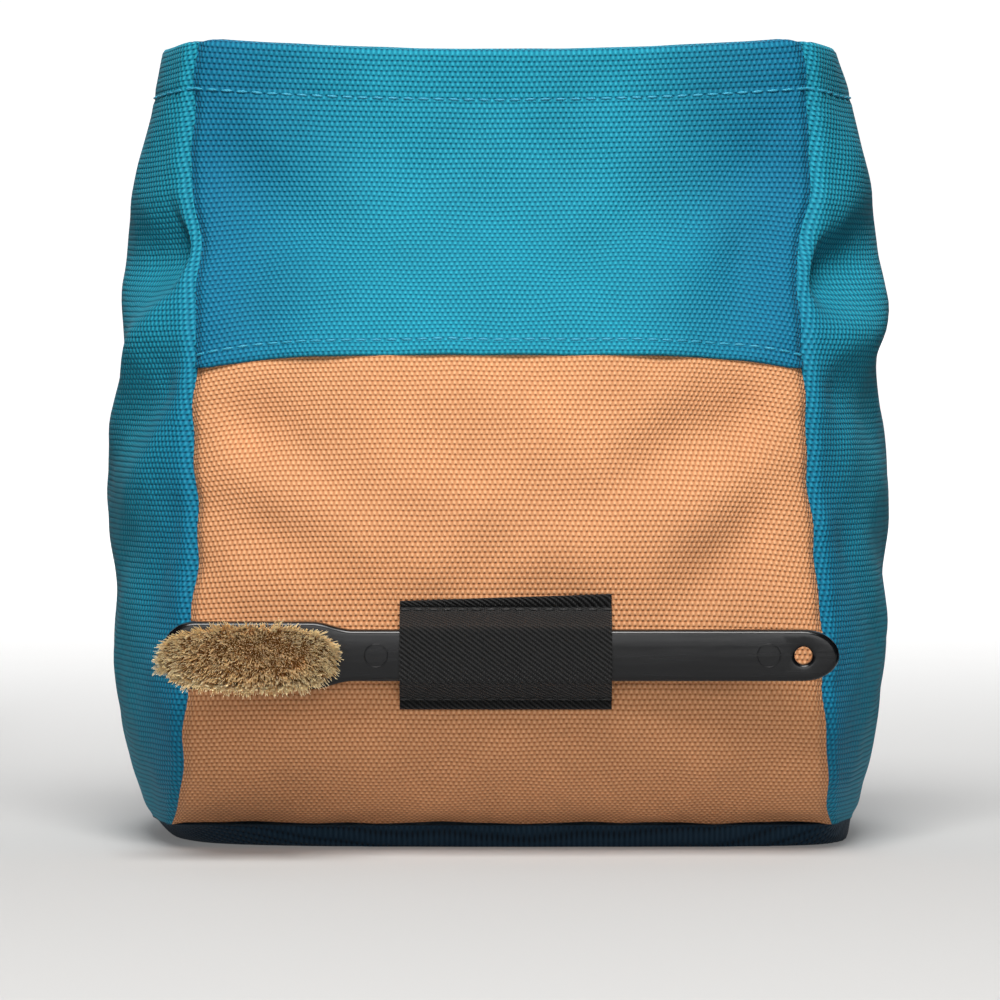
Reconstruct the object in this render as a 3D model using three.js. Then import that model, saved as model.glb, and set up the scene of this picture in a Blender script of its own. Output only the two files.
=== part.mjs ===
// A soft climbing chalk bucket of ballistic cloth, with a brush carried across its front in an elastic loop.
// Millimetres, +Z up. The front faces -Y, and the origin is on the ground under the middle of the base.
import * as THREE from "three";
import { mergeVertices } from "three/addons/utils/BufferGeometryUtils.js";

// Bag
const bagHeight = 212;
const baseWidth = 177;
const baseDepth = 100;
const wallThickness = 2;
const seamGap = 0.4;
const mouthDip = 3;

// Base, a shallow dish of cloth
const baseSeamHeight = 5.8;
const baseThickness = 2.4;
const dishRoundness = 0.12;
const dishCornerLeft = 1.6;
const dishCornerRight = 6;

// Seam between the two colours of the front, measured at the corner seams
const colourSeamHeight = 126.4;
const colourSeamArch = 4.7;
const colourSeamFlatness = 4;
const foldProud = 0.9;
const foldFade = 11;

// Hem turned in round the mouth
const hemHeight = 15;
const hemThickness = 1.4;
const hemStep = 0.8;

// Elastic loop
const loopCentre = 1.5;
const loopHeight = 53.5;
const loopWidth = 55.2;
const loopBand = 1.3;
const loopRise = 4.7;
const loopTailBelow = 2.4;
const loopTailAboveLeft = 1.8;
const loopTailAboveRight = 3.6;
const loopClearance = 0.35;
const loopBow = 0.4;
const loopColumns = 8;

// Brush, along X through the loop
const handleHeight = 13.4;
const handleThickness = 5.4;
const handleEdge = 1.3;
const tailLength = 59;
const tailRounding = 9.5;
const neckLength = 12;
const flareLength = 11;
const headLength = 39;
const headHeight = 17.6;
const hangHole = 4.6;
const hangHoleInset = 9.3;
const bristleLength = 15;
const bristleRootInset = 1.5;
const bristleSpread = 1.9;
const bristleDome = 1.2;
const bristleFlute = 0.035;
const bristleSides = 36;
const bristleSquareness = 0.8;

// Shares of the head that the tuft takes: how far it reaches along the flare, and how much its end narrows
const bristleReach = 0.6;
const bristleEgg = 0.08;

// The tuft from root to tip. out is a share of its length, spread of its spread, dome of its domed end.
const BRISTLE_RINGS = [
  { out: 0, spread: 0, shrink: 1, dome: 0 },
  { out: 0.35, spread: 0.3, shrink: 1, dome: 0 },
  { out: 0.7, spread: 0.75, shrink: 1, dome: 0 },
  { out: 0.93, spread: 1, shrink: 1, dome: 0 },
  { out: 1, spread: 0.95, shrink: 0.9, dome: 0 },
  { out: 1, spread: 0.9, shrink: 0.55, dome: 0.8 },
];

// The corner seams at rising heights. up is a share of bagHeight; left, right and back are shares of half
// the base's width, at the front's left and right seams and at both back seams; ahead and behind are shares
// of half the base's depth, at the front's seams and at the back's. The walls belly out over the base, and
// above the belly they lean together towards the mouth.
const SEAMS = [
  { up: 0.027, left: 0.998, right: 1.008, back: 0.99, ahead: 0.99, behind: 1 },
  { up: 0.057, left: 0.975, right: 0.993, back: 0.975, ahead: 1.2, behind: 1.14 },
  { up: 0.104, left: 0.957, right: 0.986, back: 0.965, ahead: 1.4, behind: 1.26 },
  { up: 0.18, left: 0.946, right: 0.975, back: 0.955, ahead: 1.5, behind: 1.34 },
  { up: 0.274, left: 0.932, right: 0.969, back: 0.945, ahead: 1.4, behind: 1.34 },
  { up: 0.415, left: 0.909, right: 0.938, back: 0.93, ahead: 1.225, behind: 1.24 },
  { up: 0.495, left: 0.93, right: 0.927, back: 0.925, ahead: 1.13, behind: 1.16 },
  { up: 0.594, left: 0.921, right: 0.919, back: 0.92, ahead: 1.01, behind: 1.05 },
  { up: 0.689, left: 0.924, right: 0.904, back: 0.915, ahead: 0.82, behind: 0.92 },
  { up: 0.731, left: 0.912, right: 0.906, back: 0.915, ahead: 0.7, behind: 0.86 },
  { up: 0.778, left: 0.925, right: 0.929, back: 0.92, ahead: 0.57, behind: 0.79 },
  { up: 0.84, left: 0.943, right: 0.949, back: 0.93, ahead: 0.45, behind: 0.73 },
  { up: 0.92, left: 0.938, right: 0.94, back: 0.925, ahead: 0.39, behind: 0.67 },
  { up: 1, left: 0.927, right: 0.927, back: 0.92, ahead: 0.37, behind: 0.62 },
];

// How far each panel bows out between its seams, in base depths.
const BOWS = [
  { up: 0.027, front: 0.03, back: 0.03, left: 0.063, right: 0.072 },
  { up: 0.057, front: 0.035, back: 0.05, left: 0.1, right: 0.1 },
  { up: 0.104, front: 0.045, back: 0.07, left: 0.145, right: 0.13 },
  { up: 0.18, front: 0.09, back: 0.1, left: 0.185, right: 0.165 },
  { up: 0.274, front: 0.16, back: 0.12, left: 0.215, right: 0.195 },
  { up: 0.415, front: 0.2, back: 0.13, left: 0.24, right: 0.22 },
  { up: 0.495, front: 0.19, back: 0.13, left: 0.23, right: 0.225 },
  { up: 0.594, front: 0.155, back: 0.12, left: 0.23, right: 0.23 },
  { up: 0.689, front: 0.12, back: 0.1, left: 0.22, right: 0.235 },
  { up: 0.778, front: 0.09, back: 0.08, left: 0.185, right: 0.2 },
  { up: 0.84, front: 0.08, back: 0.07, left: 0.145, right: 0.16 },
  { up: 1, front: 0.05, back: 0.05, left: 0.08, right: 0.08 },
];

// Dents and ridges. along is how far the middle lies across its panel; up is a share of bagHeight; length,
// width and depth are in base depths, and a depth below 0 is a ridge; turn is in degrees from level.
const FOLDS = [
  { panel: "left", along: 0.83, up: 0.73, length: 0.2, width: 0.11, depth: 0.07, turn: 14 },
  { panel: "left", along: 0.87, up: 0.64, length: 0.25, width: 0.075, depth: -0.03, turn: 38 },
  { panel: "left", along: 0.86, up: 0.56, length: 0.25, width: 0.075, depth: 0.03, turn: 38 },
  { panel: "left", along: 0.9, up: 0.48, length: 0.27, width: 0.07, depth: -0.02, turn: 42 },
  { panel: "left", along: 0.35, up: 0.62, length: 0.5, width: 0.14, depth: 0.03, turn: -8 },
  { panel: "right", along: 0.17, up: 0.715, length: 0.2, width: 0.1, depth: 0.08, turn: 26 },
  { panel: "right", along: 0.14, up: 0.64, length: 0.25, width: 0.08, depth: -0.03, turn: 4 },
  { panel: "right", along: 0.18, up: 0.555, length: 0.27, width: 0.11, depth: 0.022, turn: -18 },
  { panel: "right", along: 0.66, up: 0.6, length: 0.5, width: 0.14, depth: 0.03, turn: 8 },
  { panel: "front", along: 0.11, up: 0.52, length: 0.4, width: 0.09, depth: 0.016, turn: -28 },
  { panel: "front", along: 0.1, up: 0.405, length: 0.3, width: 0.08, depth: 0.012, turn: -20 },
  { panel: "front", along: 0.82, up: 0.515, length: 0.48, width: 0.09, depth: 0.016, turn: 26 },
  { panel: "front", along: 0.9, up: 0.405, length: 0.27, width: 0.08, depth: 0.014, turn: 32 },
  { panel: "front", along: 0.1, up: 0.67, length: 0.26, width: 0.12, depth: 0.02, turn: -62 },
  { panel: "front", along: 0.92, up: 0.72, length: 0.28, width: 0.14, depth: 0.035, turn: 62 },
  { panel: "back", along: 0.25, up: 0.62, length: 0.48, width: 0.14, depth: 0.025, turn: 24 },
  { panel: "back", along: 0.76, up: 0.56, length: 0.48, width: 0.14, depth: 0.025, turn: -20 },
];

// Panels in the order met going round the bag, anticlockwise from above. A corner is [side, end], and a
// higher roundness is flatter in the panel's middle.
const PANELS = {
  front: { start: [-1, -1], finish: [1, -1], next: "right", last: "left", roundness: 3 },
  right: { start: [1, -1], finish: [1, 1], next: "back", last: "front", roundness: 2.3 },
  back: { start: [1, 1], finish: [-1, 1], next: "left", last: "right", roundness: 2.3 },
  left: { start: [-1, 1], finish: [-1, -1], next: "front", last: "back", roundness: 2.3 },
};
const foldHold = 0.12;
const frontColumns = 18;
const sideColumns = 14;
const lowerRows = 12;
const lowerCrowding = 1.25;
const upperRows = 8;
const hemRows = 1;
const probe = 0.5;

// Reads a column of a table at a height, as a smooth curve through its rows.
function readTable(table, column, height) {
  const last = table.length - 1;
  const up = THREE.MathUtils.clamp(height / bagHeight, table[0].up, table[last].up);
  let row = 0;
  while (row < last - 1 && table[row + 1].up < up) row += 1;
  const below = table[Math.max(row - 1, 0)];
  const low = table[row];
  const high = table[row + 1];
  const above = table[Math.min(row + 2, last)];
  const span = high.up - low.up;
  const t = (up - low.up) / span;
  const lowSlope = ((high[column] - below[column]) / (high.up - below.up)) * span;
  const highSlope = ((above[column] - low[column]) / (above.up - low.up)) * span;
  return (
    (2 * t ** 3 - 3 * t ** 2 + 1) * low[column] +
    (t ** 3 - 2 * t ** 2 + t) * lowSlope +
    (3 * t ** 2 - 2 * t ** 3) * high[column] +
    (t ** 3 - t ** 2) * highSlope
  );
}

// 0 at both edges of a panel and 1 in its middle. A higher power is flatter in the middle.
function bow(along, power) {
  return 1 - Math.abs(2 * along - 1) ** power;
}

function cornerSeam([side, end], height) {
  const frontSeam = side < 0 ? "left" : "right";
  const x = (side * readTable(SEAMS, end < 0 ? frontSeam : "back", height) * baseWidth) / 2;
  const y = (end * readTable(SEAMS, end < 0 ? "ahead" : "behind", height) * baseDepth) / 2;
  return new THREE.Vector2(x, y);
}

function foldDepth(panel, along, height, width) {
  const held = THREE.MathUtils.smoothstep(Math.min(along, 1 - along), 0, foldHold);
  let depth = 0;
  for (const fold of FOLDS) {
    if (fold.panel !== panel) continue;
    const run = (along - fold.along) * width;
    const rise = height - fold.up * bagHeight;
    const turn = THREE.MathUtils.degToRad(fold.turn);
    const lengthwise = (run * Math.cos(turn) + rise * Math.sin(turn)) / (fold.length * baseDepth);
    const crosswise = (rise * Math.cos(turn) - run * Math.sin(turn)) / (fold.width * baseDepth);
    depth += fold.depth * baseDepth * Math.exp(-(lengthwise ** 2) - crosswise ** 2);
  }
  return depth * held;
}

// A point of the outer skin, in plan, at a share along a panel and a height.
function skin(panel, along, height) {
  const { start, finish, roundness } = PANELS[panel];
  const from = cornerSeam(start, height);
  const to = cornerSeam(finish, height);
  const chord = to.clone().sub(from);
  const width = chord.length();
  const outward = new THREE.Vector2(chord.y, -chord.x).divideScalar(width);
  const bulge = readTable(BOWS, panel, height) * baseDepth * bow(along, roundness);
  const offset = bulge - foldDepth(panel, along, height, width);
  return from.addScaledVector(chord, along).addScaledVector(outward, offset);
}

// The level tangent and level normal of the skin, and how steep it stands (1 is upright).
function skinFrame(panel, along, height) {
  const step = probe / baseDepth;
  const before = skin(panel, Math.max(along - step, 0), height);
  const after = skin(panel, Math.min(along + step, 1), height);
  const tangent = after.sub(before).normalize();
  const normal = new THREE.Vector2(tangent.y, -tangent.x);
  const lean = skin(panel, along, height + probe).sub(skin(panel, along, height - probe));
  const slope = lean.dot(normal) / (2 * probe);
  return { tangent, normal, upright: 1 / Math.hypot(1, slope) };
}

// A pair of points in plan, on the outside and the inside of a panel. Corner seams are mitred with a gap.
function wallPair(panel, along, height, inward, proud) {
  const point = skin(panel, along, height);
  const here = skinFrame(panel, along, height);
  const offset = here.normal.clone();
  let upright = here.upright;
  if (along === 0 || along === 1) {
    const neighbour = along === 0 ? PANELS[panel].last : PANELS[panel].next;
    const there = skinFrame(neighbour, 1 - along, height);
    offset.add(there.normal).divideScalar(1 + here.normal.dot(there.normal));
    upright = (here.upright + there.upright) / 2;
    const away = here.tangent.clone().multiplyScalar(along === 0 ? 1 : -1);
    const awayThere = there.tangent.clone().multiplyScalar(along === 0 ? -1 : 1);
    const halfAngleSine = Math.sqrt((1 - away.dot(awayThere)) / 2);
    point.addScaledVector(away, seamGap / 2 / halfAngleSine);
  }
  const outside = point.clone().addScaledVector(offset, proud / upright);
  const inside = point.clone().addScaledVector(offset, -inward / upright);
  return { outside, inside };
}

// Shares across a panel, closer together beside its seams.
function columnShares(columns) {
  const crowding = 0.7;
  return Array.from({ length: columns + 1 }, (_, i) => {
    const even = i / columns;
    const crowded = (1 - Math.cos(Math.PI * even)) / 2;
    return THREE.MathUtils.lerp(even, crowded, crowding);
  });
}

const columnsOf = (panel) => columnShares(panel === "front" || panel === "back" ? frontColumns : sideColumns);

// Heights of the colour seam and of the mouth's edge, across a panel.
function colourSeam(panel, along) {
  const arch = panel === "front" ? colourSeamArch * bow(along, colourSeamFlatness) : 0;
  return colourSeamHeight + arch;
}

function mouthEdge(along) {
  return bagHeight - mouthDip * bow(along, 2);
}

function evenly(from, to, count) {
  return Array.from({ length: count + 1 }, (_, i) => THREE.MathUtils.lerp(from, to, i / count));
}

// Rows from the base to the colour seam, closer together where the walls curve out over the base.
function lowerHeights(panel, along) {
  const rise = colourSeam(panel, along) - baseSeamHeight;
  return evenly(0, 1, lowerRows).map((share) => baseSeamHeight + rise * share ** lowerCrowding);
}

// Rows from the colour seam to the mouth, with two close together where the hem's inner edge steps in.
function upperHeights(panel, along) {
  const hemLine = mouthEdge(along) - hemHeight;
  return [
    ...evenly(colourSeam(panel, along), hemLine, upperRows),
    ...evenly(hemLine + hemStep, mouthEdge(along), hemRows),
  ];
}

// One panel's solid, from its rows of heights at each column. Its inner side is thicker in the hem.
function panelGeometry(panel, heightsAt, proudAt) {
  const outer = [];
  const inner = [];
  const shares = columnsOf(panel);
  const rows = heightsAt(shares[0]).length;
  for (let row = 0; row < rows; row += 1) {
    outer.push([]);
    inner.push([]);
    for (const along of shares) {
      const height = heightsAt(along)[row];
      const hemmed = height > mouthEdge(along) - hemHeight + hemStep / 2;
      const inward = wallThickness + (hemmed ? hemThickness : 0);
      const pair = wallPair(panel, along, height, inward, proudAt(along, height));
      outer[row].push(new THREE.Vector3(pair.outside.x, pair.outside.y, height));
      inner[row].push(new THREE.Vector3(pair.inside.x, pair.inside.y, height));
    }
  }
  return wallGeometry(outer, inner);
}

// Closes an outer and an inner grid of points into one wall. Seen from outside, rows go up and columns right.
function wallGeometry(outer, inner) {
  const rows = outer.length;
  const columns = outer[0].length;
  const points = [...outer.flat(), ...inner.flat()];
  const faces = [];
  const out = (row, column) => row * columns + column;
  const inn = (row, column) => rows * columns + row * columns + column;
  const quad = (a, b, c, d) => faces.push(a, b, c, a, c, d);
  for (let row = 0; row < rows - 1; row += 1) {
    for (let column = 0; column < columns - 1; column += 1) {
      quad(out(row, column), out(row, column + 1), out(row + 1, column + 1), out(row + 1, column));
      quad(inn(row, column), inn(row + 1, column), inn(row + 1, column + 1), inn(row, column + 1));
    }
  }
  const right = columns - 1;
  const top = rows - 1;
  for (let column = 0; column < right; column += 1) {
    quad(out(0, column), inn(0, column), inn(0, column + 1), out(0, column + 1));
    quad(out(top, column), out(top, column + 1), inn(top, column + 1), inn(top, column));
  }
  for (let row = 0; row < top; row += 1) {
    quad(out(row, 0), out(row + 1, 0), inn(row + 1, 0), inn(row, 0));
    quad(out(row, right), inn(row, right), inn(row + 1, right), out(row + 1, right));
  }
  return indexed(points, faces);
}

function indexed(points, faces) {
  const geometry = new THREE.BufferGeometry().setFromPoints(points);
  geometry.setIndex(faces);
  geometry.computeVertexNormals();
  return geometry;
}

// The base's plan, stretched between the four bottom edges; row 0 is the back edge.
function baseGeometry() {
  const across = columnShares(frontColumns);
  const back = columnShares(sideColumns);
  const edge = (panel, along, side) => wallPair(panel, along, baseSeamHeight, wallThickness, 0)[side];
  const gridOf = (side, heightAt) => {
    const corner = (panel) => edge(panel, 0, side);
    return back.map((v) => {
      const left = edge("left", v, side);
      const right = edge("right", 1 - v, side);
      return across.map((u) => {
        const behind = edge("back", 1 - u, side);
        const ahead = edge("front", u, side);
        const plan = new THREE.Vector2()
          .addScaledVector(behind, 1 - v)
          .addScaledVector(ahead, v)
          .addScaledVector(left, 1 - u)
          .addScaledVector(right, u)
          .addScaledVector(corner("left"), -(1 - u) * (1 - v))
          .addScaledVector(corner("back"), -u * (1 - v))
          .addScaledVector(corner("front"), -(1 - u) * v)
          .addScaledVector(corner("right"), -u * v);
        return new THREE.Vector3(plan.x, plan.y, heightAt(u, v));
      });
    });
  };
  const rim = baseSeamHeight - seamGap;
  const under = (u, v) => {
    const inside = bow(u, u < 0.5 ? dishCornerLeft : dishCornerRight) * bow(v, 2);
    return rim * (1 - THREE.MathUtils.smoothstep(inside, 0, dishRoundness));
  };
  const atRim = (u, v) => [0, 1].includes(u) || [0, 1].includes(v);
  const over = (u, v) => (atRim(u, v) ? rim : Math.min(under(u, v) + baseThickness, rim));
  return wallGeometry(gridOf("outside", under), gridOf("inside", over));
}

// The front skin's y at a place on it, and the furthest that it comes forward in a rectangle.
function frontAt(x, height) {
  const left = cornerSeam([-1, -1], height).x;
  const right = cornerSeam([1, -1], height).x;
  return skin("front", (x - left) / (right - left), height).y;
}

function frontMost(xFrom, xTo, low, high) {
  const samples = 24;
  const xs = evenly(xFrom, xTo, samples);
  const heights = evenly(low, high, samples);
  return Math.min(...xs.flatMap((x) => heights.map((height) => frontAt(x, height))));
}

// Places along the brush, from the loop outwards.
const loopLeft = loopCentre - loopWidth / 2;
const loopRight = loopCentre + loopWidth / 2;
const tailEnd = loopRight + tailLength;
const flareEnd = loopLeft - neckLength;
const headRight = flareEnd - flareLength;
const headEnd = headRight - headLength;
const handleLow = loopHeight - handleHeight / 2;
const handleHigh = loopHeight + handleHeight / 2;
const clothInFront = frontMost(headEnd + headHeight / 2, tailEnd - tailRounding, handleLow, handleHigh);
const brushBack = clothInFront - loopClearance;
const brushFace = brushBack - handleThickness;

// The loop's inner line at one x, from its lower tail over the handle to its upper tail, as [height, y].
function loopLine(x) {
  const share = (x - loopLeft) / loopWidth;
  const tailAbove = THREE.MathUtils.lerp(loopTailAboveLeft, loopTailAboveRight, share);
  const onCloth = (height) => [height, frontAt(x, height) - loopClearance];
  const round = handleEdge + loopClearance;
  const side = (sign, edge) => {
    const stitch = onCloth(edge + sign * loopRise);
    const corner = [0, 45, 90].map((degrees) => {
      const angle = THREE.MathUtils.degToRad(degrees);
      const beyond = round * Math.cos(angle) - handleEdge;
      return [edge + sign * beyond, brushFace + handleEdge - round * Math.sin(angle)];
    });
    const sag = [edge + (sign * loopRise) / 2, (stitch[1] + corner[0][1]) / 2 - loopBand / 2];
    return [stitch, sag, ...corner];
  };
  const lower = side(-1, handleLow);
  const upper = side(1, handleHigh);
  const bottom = handleLow - loopRise - loopTailBelow;
  const top = handleHigh + loopRise + tailAbove;
  const crest = [loopHeight, brushFace - loopClearance - loopBow];
  return [onCloth(bottom), ...lower, crest, ...upper.reverse(), onCloth(top)];
}

// The same line moved out by the band's thickness.
function movedOut(line) {
  return line.map(([height, y], i) => {
    const [lowHeight, lowY] = line[Math.max(i - 1, 0)];
    const [highHeight, highY] = line[Math.min(i + 1, line.length - 1)];
    const rise = highHeight - lowHeight;
    const run = highY - lowY;
    const length = Math.hypot(rise, run);
    if (i === 0 || i === line.length - 1) return [height, y - loopBand];
    return [height + (run / length) * loopBand, y - (rise / length) * loopBand];
  });
}

function loopGeometry() {
  const xs = evenly(loopLeft, loopRight, loopColumns);
  const inside = xs.map(loopLine);
  const outside = inside.map(movedOut);
  const gridOf = (lines) =>
    lines[0].map((_, row) => xs.map((x, i) => new THREE.Vector3(x, lines[i][row][1], lines[i][row][0])));
  return wallGeometry(gridOf(outside), gridOf(inside));
}

// The brush's plastic body: a flat outline with rounded edges and a hanging hole.
function handleGeometry() {
  const half = handleHeight / 2;
  const headHalf = headHeight / 2;
  const flareMiddle = (flareEnd + headRight) / 2;
  const outline = new THREE.Shape();
  outline.moveTo(flareEnd, -half);
  outline.lineTo(tailEnd - tailRounding, -half);
  outline.absellipse(tailEnd - tailRounding, 0, tailRounding, half, -Math.PI / 2, Math.PI / 2, false);
  outline.lineTo(flareEnd, half);
  outline.bezierCurveTo(flareMiddle, half, flareMiddle, headHalf, headRight, headHalf);
  outline.lineTo(headEnd + headHalf, headHalf);
  outline.absarc(headEnd + headHalf, 0, headHalf, Math.PI / 2, (3 * Math.PI) / 2, false);
  outline.lineTo(headRight, -headHalf);
  outline.bezierCurveTo(flareMiddle, -headHalf, flareMiddle, -half, flareEnd, -half);
  const hole = new THREE.Path();
  hole.absarc(tailEnd - hangHoleInset, 0, hangHole / 2, 0, 2 * Math.PI, true);
  outline.holes.push(hole);
  const geometry = new THREE.ExtrudeGeometry(outline, {
    depth: handleThickness - 2 * handleEdge,
    bevelThickness: handleEdge,
    bevelSize: handleEdge,
    bevelOffset: -handleEdge,
    bevelSegments: 2,
    curveSegments: 9,
  });
  geometry.translate(0, 0, handleEdge);
  geometry.rotateX(Math.PI / 2);
  geometry.translate(0, brushBack, loopHeight);
  geometry.deleteAttribute("normal");
  geometry.deleteAttribute("uv");
  const merged = mergeVertices(geometry);
  merged.computeVertexNormals();
  return merged;
}

// The tuft of bristles: an egg-shaped field, fluted by its rows of locks, spreading to a domed end.
function bristleGeometry() {
  const fieldRight = headRight + flareLength * bristleReach;
  const middle = (headEnd + fieldRight) / 2;
  const halfLength = (fieldRight - headEnd) / 2 - bristleRootInset;
  const halfHeight = headHeight / 2 - bristleRootInset;
  const rootFace = brushFace - loopClearance;
  const squared = (value) => Math.sign(value) * Math.abs(value) ** bristleSquareness;
  const ring = ({ out, spread, shrink, dome }) =>
    Array.from({ length: bristleSides }, (_, i) => {
      const angle = (i / bristleSides) * 2 * Math.PI;
      const fluted = shrink * (1 + bristleFlute * Math.cos((bristleSides * angle) / 3) * out);
      const egg = 1 + bristleEgg * (Math.cos(angle) - 1);
      const x = middle + (halfLength + bristleSpread * spread) * fluted * squared(Math.cos(angle));
      const z = loopHeight + (halfHeight + bristleSpread * spread) * fluted * egg * squared(Math.sin(angle));
      return new THREE.Vector3(x, rootFace - bristleLength * out - bristleDome * dome, z);
    });
  const points = BRISTLE_RINGS.flatMap(ring);
  const root = points.push(new THREE.Vector3(middle, rootFace, loopHeight)) - 1;
  const tip = points.push(new THREE.Vector3(middle, rootFace - bristleLength - bristleDome, loopHeight)) - 1;
  const faces = [];
  for (let i = 0; i < bristleSides; i += 1) {
    const next = (i + 1) % bristleSides;
    faces.push(root, next, i);
    for (let low = 0; low < (BRISTLE_RINGS.length - 1) * bristleSides; low += bristleSides) {
      const high = low + bristleSides;
      faces.push(low + i, low + next, high + next, low + i, high + next, high + i);
    }
    const rim = (BRISTLE_RINGS.length - 1) * bristleSides;
    faces.push(tip, rim + i, rim + next);
  }
  return indexed(points, faces);
}

const blueGreenCloth = new THREE.MeshStandardMaterial({ color: 0x1a8ab0, roughness: 0.75, metalness: 0 });
const orangeCloth = new THREE.MeshStandardMaterial({ color: 0xd99468, roughness: 0.75, metalness: 0 });
const navyCloth = new THREE.MeshStandardMaterial({ color: 0x12303f, roughness: 0.8, metalness: 0 });
const blackElastic = new THREE.MeshStandardMaterial({ color: 0x232423, roughness: 0.85, metalness: 0 });
const blackPlastic = new THREE.MeshStandardMaterial({ color: 0x17191f, roughness: 0.35, metalness: 0 });
const boarBristle = new THREE.MeshStandardMaterial({ color: 0xb8955a, roughness: 0.7, metalness: 0 });

function named(name, geometry, material) {
  const mesh = new THREE.Mesh(geometry, material);
  mesh.name = name;
  return mesh;
}

const flush = () => 0;
const foldedEdge = (along, height) => {
  const above = height - colourSeam("front", along);
  const held = THREE.MathUtils.smoothstep(Math.min(along, 1 - along), 0, foldHold);
  return foldProud * held * (1 - THREE.MathUtils.smoothstep(above, 0, foldFade));
};
const wholePanel = (panel) => (along) =>
  lowerHeights(panel, along).concat(upperHeights(panel, along).slice(1));
const frontLower = (along) => {
  const heights = lowerHeights("front", along);
  heights[heights.length - 1] -= seamGap / 2;
  return heights;
};
const frontUpper = (along) => {
  const heights = upperHeights("front", along);
  heights[0] += seamGap / 2;
  return heights;
};

const bag = new THREE.Group();
bag.add(named("base_panel", baseGeometry(), navyCloth));
bag.add(named("front_lower_panel", panelGeometry("front", frontLower, flush), orangeCloth));
bag.add(named("front_upper_panel", panelGeometry("front", frontUpper, foldedEdge), blueGreenCloth));
for (const panel of ["left", "right"]) {
  bag.add(named(`${panel}_side_panel`, panelGeometry(panel, wholePanel(panel), flush), blueGreenCloth));
}
bag.add(named("back_panel", panelGeometry("back", wholePanel("back"), flush), blueGreenCloth));
bag.add(named("brush_loop", loopGeometry(), blackElastic));

const brush = new THREE.Group();
brush.add(named("brush_handle", handleGeometry(), blackPlastic));
brush.add(named("brush_bristles", bristleGeometry(), boarBristle));

const chalkBag = new THREE.Group();
chalkBag.add(bag, brush);

export default chalkBag;
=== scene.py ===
import math

import bmesh
import bpy
import numpy as np
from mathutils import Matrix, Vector


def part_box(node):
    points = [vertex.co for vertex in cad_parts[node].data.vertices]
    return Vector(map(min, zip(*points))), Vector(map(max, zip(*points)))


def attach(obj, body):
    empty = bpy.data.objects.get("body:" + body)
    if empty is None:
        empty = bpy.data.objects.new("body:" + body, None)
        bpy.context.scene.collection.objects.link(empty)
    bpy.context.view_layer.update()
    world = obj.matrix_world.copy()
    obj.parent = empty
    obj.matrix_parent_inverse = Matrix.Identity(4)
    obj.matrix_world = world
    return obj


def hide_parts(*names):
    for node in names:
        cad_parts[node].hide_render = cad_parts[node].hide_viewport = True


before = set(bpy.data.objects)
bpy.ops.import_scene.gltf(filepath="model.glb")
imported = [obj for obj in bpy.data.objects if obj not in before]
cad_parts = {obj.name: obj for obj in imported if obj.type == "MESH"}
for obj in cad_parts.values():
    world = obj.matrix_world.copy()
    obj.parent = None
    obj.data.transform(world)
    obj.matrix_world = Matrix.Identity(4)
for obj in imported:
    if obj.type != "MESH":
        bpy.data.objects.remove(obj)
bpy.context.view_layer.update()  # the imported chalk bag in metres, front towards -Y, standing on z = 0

mm = 0.001


def hexColour(code):
    # an sRGB hex value as linear RGBA
    values = [int(code[i : i + 2], 16) / 255 for i in (1, 3, 5)]
    return [v / 12.92 if v < 0.04045 else ((v + 0.055) / 1.055) ** 2.4 for v in values] + [1.0]


def addNode(tree, kind, settings=None, inputs=None):
    # one node with its settings; an input takes a value, a socket, or a node's first output
    node = tree.nodes.new(kind)
    for name, value in (settings or {}).items():
        setattr(node, name, value)
    for name, value in (inputs or {}).items():
        if isinstance(value, bpy.types.Node):
            value = value.outputs[0]
        if isinstance(value, bpy.types.NodeSocket):
            tree.links.new(value, node.inputs[name])
        else:
            node.inputs[name].default_value = value
    return node


def calc(tree, operation, *values):
    # a Math node on one to three values
    return addNode(tree, "ShaderNodeMath", {"operation": operation}, dict(enumerate(values)))


def vectorCalc(tree, operation, first, second=None):
    # a Vector Math node
    inputs = {0: first}
    if second is not None:
        inputs["Scale" if operation == "SCALE" else 1] = second
    return addNode(tree, "ShaderNodeVectorMath", {"operation": operation}, inputs)


def mapRange(tree, value, low, high, newLow=0.0, newHigh=1.0, smooth=False):
    settings = {"interpolation_type": "SMOOTHSTEP"} if smooth else None
    ends = {"From Min": low, "From Max": high, "To Min": newLow, "To Max": newHigh}
    return addNode(tree, "ShaderNodeMapRange", settings, {"Value": value, **ends})


def noise(tree, place, scale, detail):
    return addNode(tree, "ShaderNodeTexNoise", None, {"Vector": place, "Scale": scale, "Detail": detail})


def mixColour(tree, factor, low, high, blend="MIX"):
    settings = {"data_type": "RGBA", "blend_type": blend}
    return addNode(tree, "ShaderNodeMix", settings, {"Factor": factor, 6: low, 7: high}).outputs[2]


def newMaterial(name, shaderValues):
    # an empty material with one Principled shader, its even values set on the shader's own sockets
    material = bpy.data.materials.new(name)
    material.use_nodes = True
    tree = material.node_tree
    tree.nodes.clear()
    shader = addNode(tree, "ShaderNodeBsdfPrincipled", None, shaderValues)
    addNode(tree, "ShaderNodeOutputMaterial", None, {"Surface": shader})
    return material, tree, shader


def addRelief(tree, shader, height, strength, depth):
    # bump on a material; depth in millimetres
    inputs = {"Height": height, "Strength": strength, "Distance": depth * mm}
    bump = addNode(tree, "ShaderNodeBump", None, inputs)
    tree.links.new(bump.outputs[0], shader.inputs["Normal"])


def addObject(name, data):
    thing = bpy.data.objects.new(name, data)
    bpy.context.collection.objects.link(thing)
    return thing


def smoothstep(value, low, high):
    t = np.clip((value - low) / (high - low), 0, 1)
    return t * t * (3 - 2 * t)


def table(columns, rows):
    # rows of values as dictionaries with named columns
    return [dict(zip(columns.split(), row)) for row in rows]


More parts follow.
